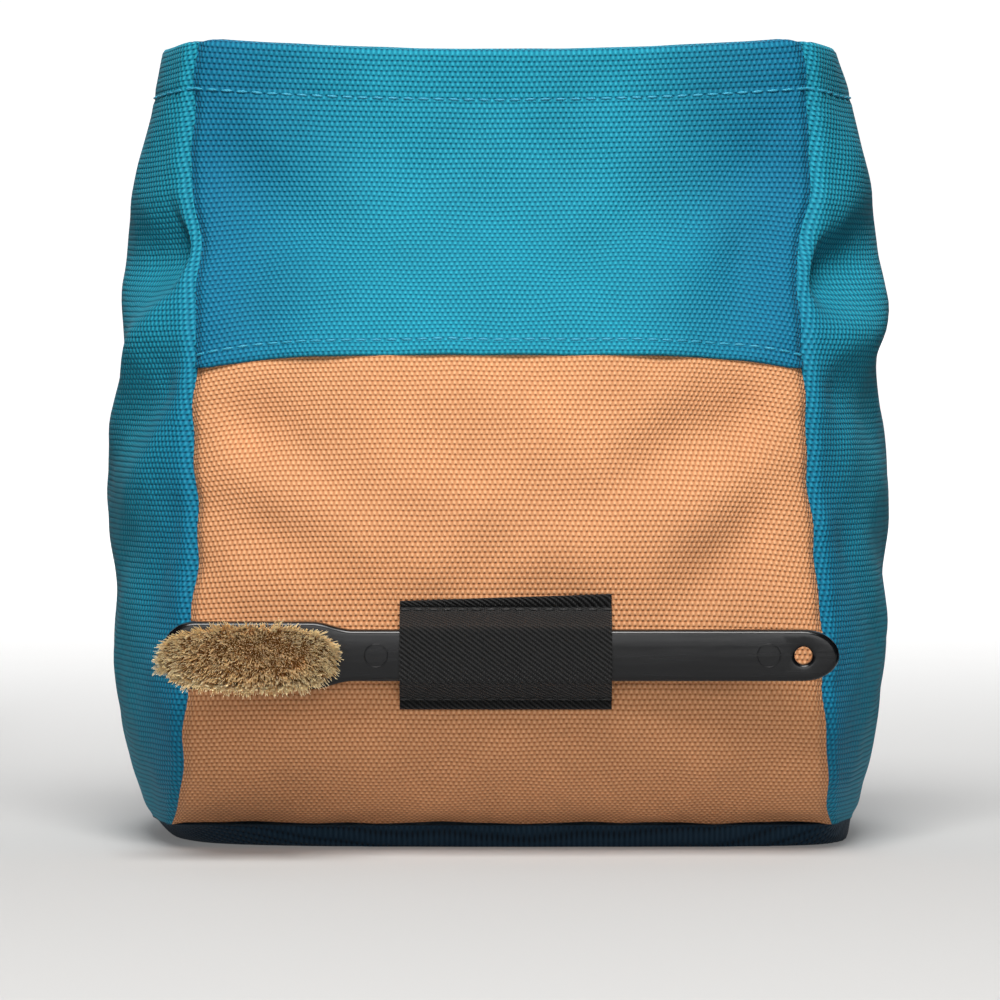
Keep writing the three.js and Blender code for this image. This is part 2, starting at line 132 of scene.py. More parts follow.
# The photograph's view: a long lens a little above the bag, 0.26 mm to a pixel at the foremost cloth.
view = {"distance": 2.5, "down": 3, "pixel": 0.26, "aimY": -86, "aimZ": 93.7, "pixels": 1000, "sensor": 36}


def makeCamera():
    down = math.radians(view["down"])
    aim = Vector((0, view["aimY"] * mm, view["aimZ"] * mm))
    camera = addObject("camera", bpy.data.cameras.new("camera"))
    camera.location = aim + Vector((0, -math.cos(down), math.sin(down))) * view["distance"]
    camera.rotation_euler = (math.pi / 2 - down, 0, 0)
    camera.data.sensor_width = view["sensor"]
    camera.data.lens = view["sensor"] * view["distance"] / (view["pixels"] * view["pixel"] * mm)
    camera.data.clip_end = 100
    bpy.context.scene.camera = camera


# Large soft boxes in metres and watts: the key above and in front, weak fills low in front and behind.
lights = table("name size at power colour", [
    ("key", 0.9, (-0.05, -1.0, 1.7), 47, "#fffdfa"),
    ("frontFill", 1.0, (0.1, -2.3, 0.6), 11, "#ffffff"),
    ("backRim", 1.4, (0.0, 1.1, 1.6), 8, "#ffffff"),
])
studio = {
    "aim": (0, 0, 0.1),
    "floorHalf": 8,
    "floor": "#b0b0b0",
    "wallAt": 6,
    "wallHeight": 4,
    "wallBend": 1.5,
    "bendSteps": 12,
    "glowFrom": -0.1,
    "glowTo": 1.4,
    "floorGlow": 0.12,
    "wallGlow": 0.9,
    "world": "#ffffff",
    "worldStrength": 0.05,
}

# Black flags just outside the picture keep the sides of the bag in shade.
flag = {"away": 0.2, "front": -0.16, "back": 0.26, "height": 0.3, "felt": (0.01, 0.01, 0.01, 1)}


def makeLights():
    for light in lights:
        data = bpy.data.lights.new(light["name"], "AREA")
        data.size = light["size"]
        data.energy = light["power"]
        data.color = hexColour(light["colour"])[:3]
        lamp = addObject(light["name"], data)
        lamp.location = light["at"]
        aim = Vector(studio["aim"]) - lamp.location
        lamp.rotation_euler = aim.to_track_quat("-Z", "Y").to_euler()
    world = bpy.data.worlds.new("paleStudio")
    world.use_nodes = True
    background = world.node_tree.nodes["Background"]
    background.inputs["Color"].default_value = hexColour(studio["world"])
    background.inputs["Strength"].default_value = studio["worldStrength"]
    bpy.context.scene.world = world
    bpy.context.scene.view_settings.view_transform = "Standard"


def makeBackdrop():
    # a sheet of paper that lies under the bag and bends up far behind it
    half = studio["floorHalf"]
    bend = studio["wallBend"]
    profile = [(-half, 0)]
    for angle in np.linspace(0, math.pi / 2, studio["bendSteps"] + 1):
        profile.append((studio["wallAt"] - bend + bend * math.sin(angle), bend - bend * math.cos(angle)))
    profile.append((studio["wallAt"], studio["wallHeight"]))
    points = [(x, y, z) for y, z in profile for x in (-half, half)]
    faces = [(2 * i, 2 * i + 1, 2 * i + 3, 2 * i + 2) for i in range(len(profile) - 1)]
    mesh = bpy.data.meshes.new("backdrop")
    mesh.from_pydata(points, [], faces)
    mesh.polygons.foreach_set("use_smooth", [True] * len(mesh.polygons))
    mesh.materials.append(paperMaterial("mattBackdropPaper"))
    addObject("backdrop", mesh)


def makeFlags():
    black, tree, shader = newMaterial("blackFlagFelt", {"Base Color": flag["felt"], "Roughness": 1.0})
    front, back, height = flag["front"], flag["back"], flag["height"]
    outline = ((front, 0), (back, 0), (back, height), (front, height))
    for side in (-1, 1):
        corners = [(side * flag["away"], y, z) for y, z in outline]
        mesh = bpy.data.meshes.new("flag")
        mesh.from_pydata(corners, [], [(0, 1, 2, 3)])
        mesh.materials.append(black)
        panel = addObject("flag", mesh)
        panel.visible_camera = False


def paperMaterial(name):
    # pale matt paper with a painted glow: its emission is faint on the floor and strong further back, where
    # it rises
    material, tree, shader = newMaterial(name, {
        "Base Color": hexColour(studio["floor"]),
        "Roughness": 0.85,
        "Specular IOR Level": 0.2,
        "Emission Color": (1, 1, 1, 1),
    })
    place = addNode(tree, "ShaderNodeTexCoord")
    parts = addNode(tree, "ShaderNodeSeparateXYZ", None, {0: place.outputs["Object"]})
    ends = [studio[key] for key in ("glowFrom", "glowTo", "floorGlow", "wallGlow")]
    glow = mapRange(tree, parts.outputs["Y"], *ends, smooth=True)
    tree.links.new(glow.outputs[0], shader.inputs["Emission Strength"])
    return material


makeCamera()
makeLights()
makeBackdrop()
makeFlags()
print("camera and studio ready")

# The bag's form in millimetres, as the construction has it.
bag = {
    "height": 212,
    "width": 177,
    "depth": 100,
    "baseSeam": 5.8,
    "colourSeam": 126.4,
    "colourArch": 4.7,
    "colourFlatness": 4,
    "mouthDip": 3,
    "hem": 15,
    "foldHold": 0.12,
}

# The corner seams: widths in half base widths, ahead and behind in half base depths.
seams = table("up left right back ahead behind", [
    (0.027, 0.998, 1.008, 0.99, 0.99, 1),
    (0.057, 0.975, 0.993, 0.975, 1.2, 1.14),
    (0.104, 0.957, 0.986, 0.965, 1.4, 1.26),
    (0.18, 0.946, 0.975, 0.955, 1.5, 1.34),
    (0.274, 0.932, 0.969, 0.945, 1.4, 1.34),
    (0.415, 0.909, 0.938, 0.93, 1.225, 1.24),
    (0.495, 0.93, 0.927, 0.925, 1.13, 1.16),
    (0.594, 0.921, 0.919, 0.92, 1.01, 1.05),
    (0.689, 0.924, 0.904, 0.915, 0.82, 0.92),
    (0.731, 0.912, 0.906, 0.915, 0.7, 0.86),
    (0.778, 0.925, 0.929, 0.92, 0.57, 0.79),
    (0.84, 0.943, 0.949, 0.93, 0.45, 0.73),
    (0.92, 0.938, 0.94, 0.925, 0.39, 0.67),
    (1, 0.927, 0.927, 0.92, 0.37, 0.62),
])

# How far each panel bows out between its seams, in base depths.
bows = table("up front back left right", [
    (0.027, 0.03, 0.03, 0.063, 0.072),
    (0.057, 0.035, 0.05, 0.1, 0.1),
    (0.104, 0.045, 0.07, 0.145, 0.13),
    (0.18, 0.09, 0.1, 0.185, 0.165),
    (0.274, 0.16, 0.12, 0.215, 0.195),
    (0.415, 0.2, 0.13, 0.24, 0.22),
    (0.495, 0.19, 0.13, 0.23, 0.225),
    (0.594, 0.155, 0.12, 0.23, 0.23),
    (0.689, 0.12, 0.1, 0.22, 0.235),
    (0.778, 0.09, 0.08, 0.185, 0.2),
    (0.84, 0.08, 0.07, 0.145, 0.16),
    (1, 0.05, 0.05, 0.08, 0.08),
])

# Dents, and ridges where depth is below 0; length, width and depth in base depths, turn in degrees.
folds = table("panel along up length width depth turn", [
    ("left", 0.83, 0.73, 0.2, 0.11, 0.07, 14),
    ("left", 0.87, 0.64, 0.25, 0.075, -0.03, 38),
    ("left", 0.86, 0.56, 0.25, 0.075, 0.03, 38),
    ("left", 0.9, 0.48, 0.27, 0.07, -0.02, 42),
    ("left", 0.35, 0.62, 0.5, 0.14, 0.03, -8),
    ("right", 0.17, 0.715, 0.2, 0.1, 0.08, 26),
    ("right", 0.14, 0.64, 0.25, 0.08, -0.03, 4),
    ("right", 0.18, 0.555, 0.27, 0.11, 0.022, -18),
    ("right", 0.66, 0.6, 0.5, 0.14, 0.03, 8),
    ("front", 0.11, 0.52, 0.4, 0.09, 0.016, -28),
    ("front", 0.1, 0.405, 0.3, 0.08, 0.012, -20),
    ("front", 0.82, 0.515, 0.48, 0.09, 0.016, 26),
    ("front", 0.9, 0.405, 0.27, 0.08, 0.014, 32),
    ("front", 0.1, 0.67, 0.26, 0.12, 0.02, -62),
    ("front", 0.92, 0.72, 0.28, 0.14, 0.035, 62),
    ("back", 0.25, 0.62, 0.48, 0.14, 0.025, 24),
    ("back", 0.76, 0.56, 0.48, 0.14, 0.025, -20),
])

# Further creases that the sewn cloth has and the rigid walls leave out, in the same terms.
creases = table("panel along up length width depth turn", [
    ("front", 0.5, 0.295, 0.6, 0.13, 0.024, 0),
    ("front", 0.1, 0.53, 0.16, 0.12, 0.016, -10),
    ("front", 0.9, 0.53, 0.18, 0.12, 0.022, 10),
    ("front", 0.9, 0.36, 0.2, 0.1, 0.014, 16),
    ("front", 0.3, 0.52, 0.3, 0.1, 0.012, -24),
    ("front", 0.8, 0.8, 0.35, 0.12, 0.02, 40),
    ("front", 0.14, 0.78, 0.35, 0.12, 0.02, -44),
    ("left", 0.93, 0.35, 0.3, 0.06, 0.012, 60),
    ("right", 0.08, 0.4, 0.3, 0.06, 0.012, -60),
    ("left", 0.5, 0.3, 0.5, 0.12, 0.015, 20),
    ("right", 0.45, 0.33, 0.5, 0.12, 0.015, -20),
    ("back", 0.5, 0.35, 0.6, 0.14, 0.02, 10),
])

# Panels going round anticlockwise from above. A corner is (side, end).
panels = {
    "front": {"start": (-1, -1), "finish": (1, -1), "roundness": 3, "columns": 110},
    "right": {"start": (1, -1), "finish": (1, 1), "roundness": 2.3, "columns": 92},
    "back": {"start": (1, 1), "finish": (-1, 1), "roundness": 2.3, "columns": 110},
    "left": {"start": (-1, 1), "finish": (-1, -1), "roundness": 2.3, "columns": 92},
}

# The finished cloth: its walls, and the small relief that sewing and use give it, in millimetres.
cloth = {
    "wall": 1.8,
    "hemExtra": 1.4,
    "seamShare": 0.3,
    "seamReach": 6,
    "foldGain": {"front": 1.8, "left": 1.3, "right": 1.3, "back": 1.2},
    "seamDepth": 2.0,
    "seamWidth": 2.3,
    "seamWander": 0.3,
    "wanderReach": 7,
    "wanderLengths": (17, 29),
    "puckerDepth": 0.3,
    "puckerLength": 9.5,
    "puckerReach": 7,
    "baseRoll": 0.9,
    "baseRollWidth": 2.4,
    "foldProud": 1.35,
    "foldFade": 10,
    "stitchInset": 3.1,
    "stitchSink": 0.45,
    "stitchWidth": 0.9,
    "rippleDepth": 0.22,
    "rippleReach": 14,
    "puckerBeat": 31,
    "puckerDrift": 1.3,
    "hemStep": 0.8,
    "tuck": 0.6,
    "crowdAcross": 0.7,
    "crowdUp": 0.5,
    "rowSpacing": 2.0,
    "edgeSegments": 4,
    "edgeStep": 0.7,
}


def readTable(rows, column, height):
    # a column of a table at some heights, as a smooth curve through its rows
    ups = np.array([row["up"] for row in rows])
    values = np.array([row[column] for row in rows])
    up = np.clip(np.asarray(height, float) / bag["height"], ups[0], ups[-1])
    low = np.clip(np.searchsorted(ups, up, side="left") - 1, 0, len(ups) - 2)
    below = np.maximum(low - 1, 0)
    above = np.minimum(low + 2, len(ups) - 1)
    span = ups[low + 1] - ups[low]
    t = (up - ups[low]) / span
    lowSlope = (values[low + 1] - values[below]) / (ups[low + 1] - ups[below]) * span
    highSlope = (values[above] - values[low]) / (ups[above] - ups[low]) * span
    return (
        (2 * t**3 - 3 * t**2 + 1) * values[low]
        + (t**3 - 2 * t**2 + t) * lowSlope
        + (3 * t**2 - 2 * t**3) * values[low + 1]
        + (t**3 - t**2) * highSlope
    )


def bow(along, power):
    # 0 at both edges of a panel and 1 in its middle
    return 1 - np.abs(2 * along - 1) ** power


def cornerSeam(corner, height):
    side, end = corner
    frontSeam = "left" if side < 0 else "right"
    x = side * readTable(seams, frontSeam if end < 0 else "back", height) * bag["width"] / 2
    y = end * readTable(seams, "ahead" if end < 0 else "behind", height) * bag["depth"] / 2
    return np.stack([x, y], -1)


def foldDepth(panel, along, height, width):
    held = smoothstep(np.minimum(along, 1 - along), 0, bag["foldHold"])
    depth = np.zeros_like(height)
    for fold in folds + creases:
        if fold["panel"] != panel:
            continue
        run = (along - fold["along"]) * width
        rise = height - fold["up"] * bag["height"]
        turn = math.radians(fold["turn"])
        lengthwise = (run * math.cos(turn) + rise * math.sin(turn)) / (fold["length"] * bag["depth"])
        crosswise = (rise * math.cos(turn) - run * math.sin(turn)) / (fold["width"] * bag["depth"])
        depth += fold["depth"] * bag["depth"] * np.exp(-(lengthwise**2) - crosswise**2)
    return depth * held * cloth["foldGain"][panel]


def skin(panel, along, height):
    # points of the bare outer skin, from shares along a panel and heights
    along, height = np.broadcast_arrays(np.asarray(along, float), np.asarray(height, float))
    start = cornerSeam(panels[panel]["start"], height)
    chord = cornerSeam(panels[panel]["finish"], height) - start
    width = np.linalg.norm(chord, axis=-1)
    outward = np.stack([chord[..., 1], -chord[..., 0]], -1) / width[..., None]
    bulge = readTable(bows, panel, height) * bag["depth"] * bow(along, panels[panel]["roundness"])
    offset = bulge - foldDepth(panel, along, height, width)
    plan = start + chord * along[..., None] + outward * offset[..., None]
    return np.concatenate([plan, height[..., None]], -1)


def normalsOf(grid):
    # outward normals of a grid whose rows go up and columns go right, seen from outside
    across = np.gradient(grid, axis=1)
    up = np.gradient(grid, axis=0)
    normal = np.cross(across, up)
    return normal / np.linalg.norm(normal, axis=-1, keepdims=True)


def shares(count, crowding):
    # shares from 0 to 1, closer together at both ends
    even = np.linspace(0, 1, count + 1)
    return even * (1 - crowding) + crowding * (1 - np.cos(np.pi * even)) / 2


# Lines along which panels end, each a height for every share along a panel.
def baseLine(panel, along):
    return bag["baseSeam"] + 0 * along


def colourSeam(panel, along):
    return bag["colourSeam"] + bag["colourArch"] * bow(along, bag["colourFlatness"])


def tuckedLine(panel, along):
    # the orange cloth runs up a little behind the fold above it
    return colourSeam(panel, along) + cloth["tuck"]


def mouthLine(panel, along):
    return bag["height"] - bag["mouthDip"] * bow(along, 2)


# The slack that long use leaves in cloth: a few slow waves that don't repeat together, in millimetres.
waves = table("across up shift weight", [
    (47, 31, 0.3, 1.0),
    (-29, 38, 1.7, 0.7),
    (21, -24, 3.9, 0.45),
    (13, 17, 5.2, 0.25),
])


def ripples(u, v, phase):
    total = 0
    for wave in waves:
        angle = 2 * np.pi * (u / wave["across"] + v / wave["up"]) + wave["shift"] + phase
        total = total + wave["weight"] * np.sin(angle)
    return total


def arcLengths(grid):
    # millimetres along each row from its middle, and up the middle column
    steps = np.linalg.norm(np.diff(grid, axis=1), axis=-1)
    u = np.concatenate([np.zeros((len(grid), 1)), np.cumsum(steps, axis=1)], 1)
    u = u - u[:, -1:] / 2
    middle = grid[:, grid.shape[1] // 2]
    v = np.concatenate([[0], np.cumsum(np.linalg.norm(np.diff(middle, axis=0), axis=-1))])
    return u, np.repeat(v[:, None], grid.shape[1], 1)


def stitchDip(distance):
    # how far a row of stitches pulls the cloth in
    return cloth["stitchSink"] * np.exp(-((distance / cloth["stitchWidth"]) ** 2))


def seamPull(panel, u, height):
    # a panel's move near its corner seams: drawn in at the seam, which wanders a little from side to side
    first, second = cloth["wanderLengths"]
    pull = 0
    for corner, distance in (("start", u - u[:, :1]), ("finish", u[:, -1:] - u)):
        side, end = panels[panel][corner]
        inward = np.array([-side, -end, 0]) / math.sqrt(2)
        groove = cloth["seamDepth"] * np.exp(-((distance / cloth["seamWidth"]) ** 2))
        wander = np.sin(2 * np.pi * height / first + side) + np.sin(2 * np.pi * height / second + 2 * side)
        sway = cloth["seamWander"] * wander * np.exp(-((distance / cloth["wanderReach"]) ** 2))
        pull = pull + inward * groove[..., None] + np.array([1, 0, 0]) * sway[..., None]
    return pull


def clothPanel(panel, low, high, phase, folded=False, bottomSeam=False, hemmed=False):
    # the outer and inner grids of one panel between two lines of heights, with its weave's coordinates
    along = shares(panels[panel]["columns"], cloth["crowdAcross"])
    lowLine = low(panel, along)
    highLine = high(panel, along)
    rowCount = int(round(float(np.mean(highLine - lowLine)) / cloth["rowSpacing"]))
    share = shares(rowCount, cloth["crowdUp"])[:, None]
    height = lowLine * (1 - share) + highLine * share
    grid = skin(panel, along, height)
    normal = normalsOf(grid)
    u, v = arcLengths(grid)

    edgeDistance = u[:, -1:] - np.abs(u)
    proud = cloth["rippleDepth"] * ripples(u, v, phase) * smoothstep(edgeDistance, 0, cloth["rippleReach"])
    beat = cloth["puckerDrift"] * np.sin(2 * np.pi * v / cloth["puckerBeat"] + phase)
    pucker = np.sin(2 * np.pi * v / cloth["puckerLength"] + beat + np.sign(u) + phase)
    held = 1 - np.exp(-((edgeDistance / cloth["seamWidth"]) ** 2))
    proud = proud + cloth["puckerDepth"] * pucker * held * np.exp(-edgeDistance / cloth["puckerReach"])
    wall = cloth["wall"]
    if folded:
        above = height - lowLine
        proud = proud + cloth["foldProud"] * (1 - smoothstep(above, 0, cloth["foldFade"]))
        proud = proud - stitchDip(above - cloth["stitchInset"])
    if bottomSeam:
        roll = cloth["baseRoll"] * np.exp(-(((height - lowLine) / cloth["baseRollWidth"]) ** 2))
        proud = proud - roll * smoothstep(edgeDistance, 0, cloth["seamReach"])
    if hemmed:
        hemStart = highLine - bag["hem"]
        proud = proud - stitchDip(hemStart + cloth["stitchInset"] - height)
        wall = wall + cloth["hemExtra"] * smoothstep(height, hemStart - cloth["hemStep"], hemStart)
    outer = grid + normal * proud[..., None] + seamPull(panel, u, height)
    full = smoothstep(edgeDistance, 0, cloth["seamReach"])
    thickness = wall * (cloth["seamShare"] + (1 - cloth["seamShare"]) * full)
    inner = outer - normal * thickness[..., None]
    return {"outer": outer, "inner": inner, "u": u, "v": v, "along": along, "height": height}


def roundedEdge(outerEdge, innerEdge, onward):
    # points of the half circle that closes a sheet's edge, from its outer to its inner side
    middle = (outerEdge + innerEdge) / 2
    reach = (outerEdge - innerEdge) / 2
    radius = np.linalg.norm(reach, axis=-1, keepdims=True)
    onward = onward / np.linalg.norm(onward, axis=-1, keepdims=True)
    angles = np.pi * np.arange(1, cloth["edgeSegments"]) / cloth["edgeSegments"]
    return [middle + reach * math.cos(a) + onward * radius * math.sin(a) for a in angles]


def sheetPiece(name, grids, materials):
    # one closed sheet: outer side, round top edge, inner side and round bottom edge, capped at both ends
    outer, inner, u, v = grids["outer"], grids["inner"], grids["u"], grids["v"]
    rows, columns = outer.shape[:2]
    topEdge = roundedEdge(outer[-1], inner[-1], outer[-1] - outer[-2])
    lowEdge = roundedEdge(outer[0], inner[0], outer[0] - outer[1])
    ring = np.array(list(outer) + topEdge + list(inner[::-1]) + lowEdge[::-1])
    edgeCount = len(topEdge)
    edgeV = cloth["edgeStep"] * np.arange(1, edgeCount + 1)[:, None]
    ringV = np.concatenate([v, v[-1] + edgeV, v[::-1], v[0] - edgeV[::-1]])
    ringU = np.concatenate([u, np.repeat(u[-1:], edgeCount, 0), u[::-1], np.repeat(u[:1], edgeCount, 0)])
    length = len(ring)
    faces = []
    inside = []
    for row in range(length):
        lining = rows + edgeCount <= row < 2 * rows + edgeCount - 1
        for column in range(columns - 1):
            here = row * columns + column
            after = (row + 1) % length * columns + column
            faces.append([here, here + 1, after + 1, after])
            inside.append(1 if lining else 0)
    mirror = 2 * rows + edgeCount - 1
    for column, flip in ((0, False), (columns - 1, True)):
        caps = [[row, row + 1, mirror - row - 1, mirror - row] for row in range(rows - 1)]
        caps.append(list(range(rows - 1, rows + edgeCount + 1)))
        caps.append([mirror] + list(range(mirror + 1, length)) + [0])
        for cap in caps:
            rim = [row * columns + column for row in cap]
            faces.append(rim[::-1] if flip else rim)
            inside.append(0)
    uv = np.stack([ringU, ringV], -1).reshape(-1, 2)
    return meshPiece(name, ring.reshape(-1, 3) * mm, faces, materials, uv, inside)


def meshPiece(name, points, faces, materials, uv=None, materialIndex=None, smooth=True):
    mesh = bpy.data.meshes.new(name)
    mesh.from_pydata([tuple(p) for p in points], [], faces)
    for material in materials:
        mesh.materials.append(material)
    if materialIndex is not None:
        mesh.polygons.foreach_set("material_index", materialIndex)
    if uv is not None:
        layer = mesh.uv_layers.new(name="clothMillimetres")
        corners = np.zeros(len(mesh.loops), dtype=np.int32)
        mesh.loops.foreach_get("vertex_index", corners)
        layer.data.foreach_set("uv", np.asarray(uv, dtype=np.float32)[corners].ravel())
    mesh.polygons.foreach_set("use_smooth", [smooth] * len(mesh.polygons))
    mesh.update()
    return addObject(name, mesh)


# Plain-woven pack nylon: thick flat yarns over every second thread, staggered from row to row. Each yarn's
# crown gets a painted highlight and the pit under it a painted shade, over a bump of the same pattern.
# Lengths in millimetres, scales per millimetre.
weave = {
    "thread": 0.70,
    "row": 1.38,
    "depth": 0.22,
    "crownSharpness": 0.8,
    "pitSharpness": 2.6,
    "pitFrom": 0.3,
    "pitShare": 0.8,
    "driftScale": 0.16,
    "drift": 0.3,
    "toneScale": 0.045,
    "toneLow": 0.94,
    "toneHigh": 1.05,
    # where the painted shade beside the seams begins and is full, in millimetres from a panel's middle
    "edgeShadeFrom": 25,
    "edgeShadeTo": 82,
}


def yarnFloats(tree, across, up, lift, sharpness):
    # humps over every second thread; lift moves them up by a share of a row
    raised = calc(tree, "ADD", up, lift)
    odd = calc(tree, "FLOORED_MODULO", calc(tree, "FLOOR", raised), 2)
    shifted = calc(tree, "MULTIPLY_ADD", odd, 0.5, across)
    wave = calc(tree, "COSINE", calc(tree, "MULTIPLY", shifted, 2 * math.pi))
    hump = calc(tree, "MULTIPLY_ADD", wave, 0.5, 0.5)
    rise = calc(tree, "SINE", calc(tree, "MULTIPLY", calc(tree, "FRACT", raised), math.pi))
    return calc(tree, "MULTIPLY", hump, calc(tree, "POWER", rise, sharpness))


def wovenCloth(name, yarn, crownHighlight, pitShade, strength=1.0, roughness=0.62, edgeShadeTint="#ffffff"):
    # the edge tint is painted shade: it deepens the colour beside the seams, darker and bluer towards them
    material, tree, shader = newMaterial(name, {
        "Roughness": roughness,
        "Specular IOR Level": 0.14,
        "Sheen Weight": 0.03,
        "Sheen Roughness": 0.45,
    })
    uv = addNode(tree, "ShaderNodeUVMap", {"uv_map": "clothMillimetres"})
    uneven = noise(tree, uv, weave["driftScale"], 2)
    centred = vectorCalc(tree, "SUBTRACT", uneven.outputs["Color"], (0.5, 0.5, 0.5))
    drift = vectorCalc(tree, "SCALE", centred, weave["drift"])
    place = vectorCalc(tree, "ADD", uv, drift)
    parts = addNode(tree, "ShaderNodeSeparateXYZ", None, {0: place})
    across = calc(tree, "DIVIDE", parts.outputs["X"], 2 * weave["thread"])
    up = calc(tree, "DIVIDE", parts.outputs["Y"], weave["row"])
    crowns = yarnFloats(tree, across, up, 0.0, weave["crownSharpness"])
    pits = yarnFloats(tree, across, up, 0.5, weave["pitSharpness"])
    # painted highlight on the yarn crowns, then painted shade in the pits under them
    lit = mixColour(tree, crowns, hexColour(yarn), hexColour(crownHighlight))
    deep = mapRange(tree, pits, weave["pitFrom"], 1.0, 0.0, weave["pitShare"])
    dark = mixColour(tree, deep, lit, hexColour(pitShade))
    tone = noise(tree, uv, weave["toneScale"], 3)
    shade = mapRange(tree, tone, 0.3, 0.7, weave["toneLow"], weave["toneHigh"])
    fromMiddle = addNode(tree, "ShaderNodeSeparateXYZ", None, {0: uv})
    reach = calc(tree, "ABSOLUTE", fromMiddle.outputs["X"])
    # painted shade towards the seams, growing with the distance from the panel's middle
    edgeShadeMask = mapRange(tree, reach, weave["edgeShadeFrom"], weave["edgeShadeTo"], smooth=True)
    edgeShaded = mixColour(tree, edgeShadeMask, dark, hexColour(edgeShadeTint), "MULTIPLY")
    toneAndPaintedShade = addNode(tree, "ShaderNodeHueSaturation", None, {"Color": edgeShaded, "Value": shade})
    tree.links.new(toneAndPaintedShade.outputs[0], shader.inputs["Base Color"])
    relief = calc(tree, "SUBTRACT", crowns, deep)
    addRelief(tree, shader, relief, strength, weave["depth"])
    return material


# In each cloth the crown colour is a painted highlight and the pit colour a painted shade.
clothColours = {
    # the edge tint is painted shade beside the seams
    "blueGreen": {"yarn": "#0a7892", "crownHighlight": "#2da5be", "pitShade": "#05435f", "edgeShadeTint": "#aacbe0"},
    "orange": {"yarn": "#c38457", "crownHighlight": "#eab285", "pitShade": "#925330"},
    "navy": {"yarn": "#132a3b", "crownHighlight": "#21394b", "pitShade": "#060e16"},
    "coating": {"yarn": "#123a4a", "crownHighlight": "#174455", "pitShade": "#0d2c3a"},
}
blueGreenNylon = wovenCloth("wovenNylonBlueGreen", **clothColours["blueGreen"])
orangeNylon = wovenCloth("wovenNylonOrange", **clothColours["orange"])
navyNylon = wovenCloth("wovenNylonNavy", **clothColours["navy"])
coatedReverse = wovenCloth("coatedNylonReverse", **clothColours["coating"], strength=0.25, roughness=0.45)
print("cloth materials ready")

# The panels
frontLower = clothPanel("front", baseLine, tuckedLine, 0.4, bottomSeam=True)
frontUpper = clothPanel("front", colourSeam, mouthLine, 2.1, folded=True, hemmed=True)
sides = {
    panel: clothPanel(panel, baseLine, mouthLine, phase, bottomSeam=True, hemmed=True)
    for panel, phase in (("left", 3.3), ("right", 5.1), ("back", 1.2))
}
for name, grids, node, material, finish in (
    ("frontLowerPanel", frontLower, "front_lower_panel", orangeNylon, "orange_cloth"),
    ("frontUpperPanel", frontUpper, "front_upper_panel", blueGreenNylon, "blue_green_cloth"),
    ("leftSidePanel", sides["left"], "left_side_panel", blueGreenNylon, "blue_green_cloth"),
    ("rightSidePanel", sides["right"], "right_side_panel", blueGreenNylon, "blue_green_cloth"),
    ("backPanel", sides["back"], "back_panel", blueGreenNylon, "blue_green_cloth"),
):
    piece = sheetPiece(name, grids, [material, coatedReverse])
    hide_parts(node)
    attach(piece, "bag")
for name, grids in [("frontLower", frontLower), ("frontUpper", frontUpper), *sides.items()]:
    print(name, "flat width and height in mm:", round(2 * grids["u"].max()), round(grids["v"].max()))
print("panels sewn")

# The base: a shallow dish stretched between the bottom edges of the four walls.
dish = {"thickness": 2.4, "roundness": 0.12, "cornerLeft": 1.6, "cornerRight": 6, "rimLap": 0.2}


def basePiece():
    front = frontLower["outer"][0]
    right = sides["right"]["outer"][0]
    back = sides["back"]["outer"][0][::-1]
    left = sides["left"]["outer"][0][::-1]
    u = frontLower["along"][None, :, None]
    v = sides["right"]["along"][:, None, None]
    plan = front[None] * (1 - v) + back[None] * v + left[:, None] * (1 - u) + right[:, None] * u
    plan = plan - (front[0] * (1 - u) + front[-1] * u) * (1 - v) - (back[0] * (1 - u) + back[-1] * u) * v
    u, v = u[..., 0], v[..., 0]
    power = np.where(u < 0.5, dish["cornerLeft"], dish["cornerRight"])
    inside = bow(u, power) * bow(v, 2)
    under = bag["baseSeam"] * (1 - smoothstep(inside, 0, dish["roundness"]))
    outer = plan.copy()
    outer[..., 2] = under
    inner = plan.copy()
    inner[..., 2] = np.minimum(under + dish["thickness"], bag["baseSeam"] + dish["rimLap"])
    # seen from below, rows go towards the front and columns to the right
    grids = {"outer": outer[::-1], "inner": inner[::-1], "u": plan[::-1, :, 0], "v": -plan[::-1, :, 1]}
    return sheetPiece("baseDish", grids, [navyNylon, coatedReverse])


base = basePiece()
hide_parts("base_panel")
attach(base, "bag")
print("base sewn")

# Top-stitching, made once as a tree and grown along each row's guide line. Millimetres, and radians for lean.
stitching = {"radius": 0.34, "proud": 0.154, "lean": 0.06, "margin": 4, "twistsPerMetre": 900}


def growOn(points, edges, faces, tree, values, name):
    # runs a tree on a guide mesh and keeps its result as a plain mesh
    guideMesh = bpy.data.meshes.new(name + "Guide")
    guideMesh.from_pydata([tuple(p) for p in points], edges, faces)
    guide = addObject(name + "Guide", guideMesh)
    modifier = guide.modifiers.new("grow", "NODES")
    modifier.node_group = tree
    for item in tree.interface.items_tree:
        if item.name in values:
            modifier[item.identifier] = values[item.name]
    depsgraph = bpy.context.evaluated_depsgraph_get()
    grown = guide.evaluated_get(depsgraph)
    mesh = bpy.data.meshes.new_from_object(grown, preserve_all_data_layers=True, depsgraph=depsgraph)
    bpy.data.objects.remove(guide)
    mesh.name = name
    return addObject(name, mesh)


def namedInputs(tree, kinds):
    # gives a tree its named inputs and returns their sockets
    tree.interface.new_socket("Geometry", in_out="INPUT", socket_type="NodeSocketGeometry")
    for name, kind in kinds.items():
        tree.interface.new_socket(name, in_out="INPUT", socket_type="NodeSocket" + kind)
    tree.interface.new_socket("Geometry", in_out="OUTPUT", socket_type="NodeSocketGeometry")
    return addNode(tree, "NodeGroupInput").outputs


def randomFloat(tree, low, high, seed):
    inputs = {2: low, 3: high, "Seed": seed}
    return addNode(tree, "FunctionNodeRandomValue", {"data_type": "FLOAT"}, inputs).outputs[1]


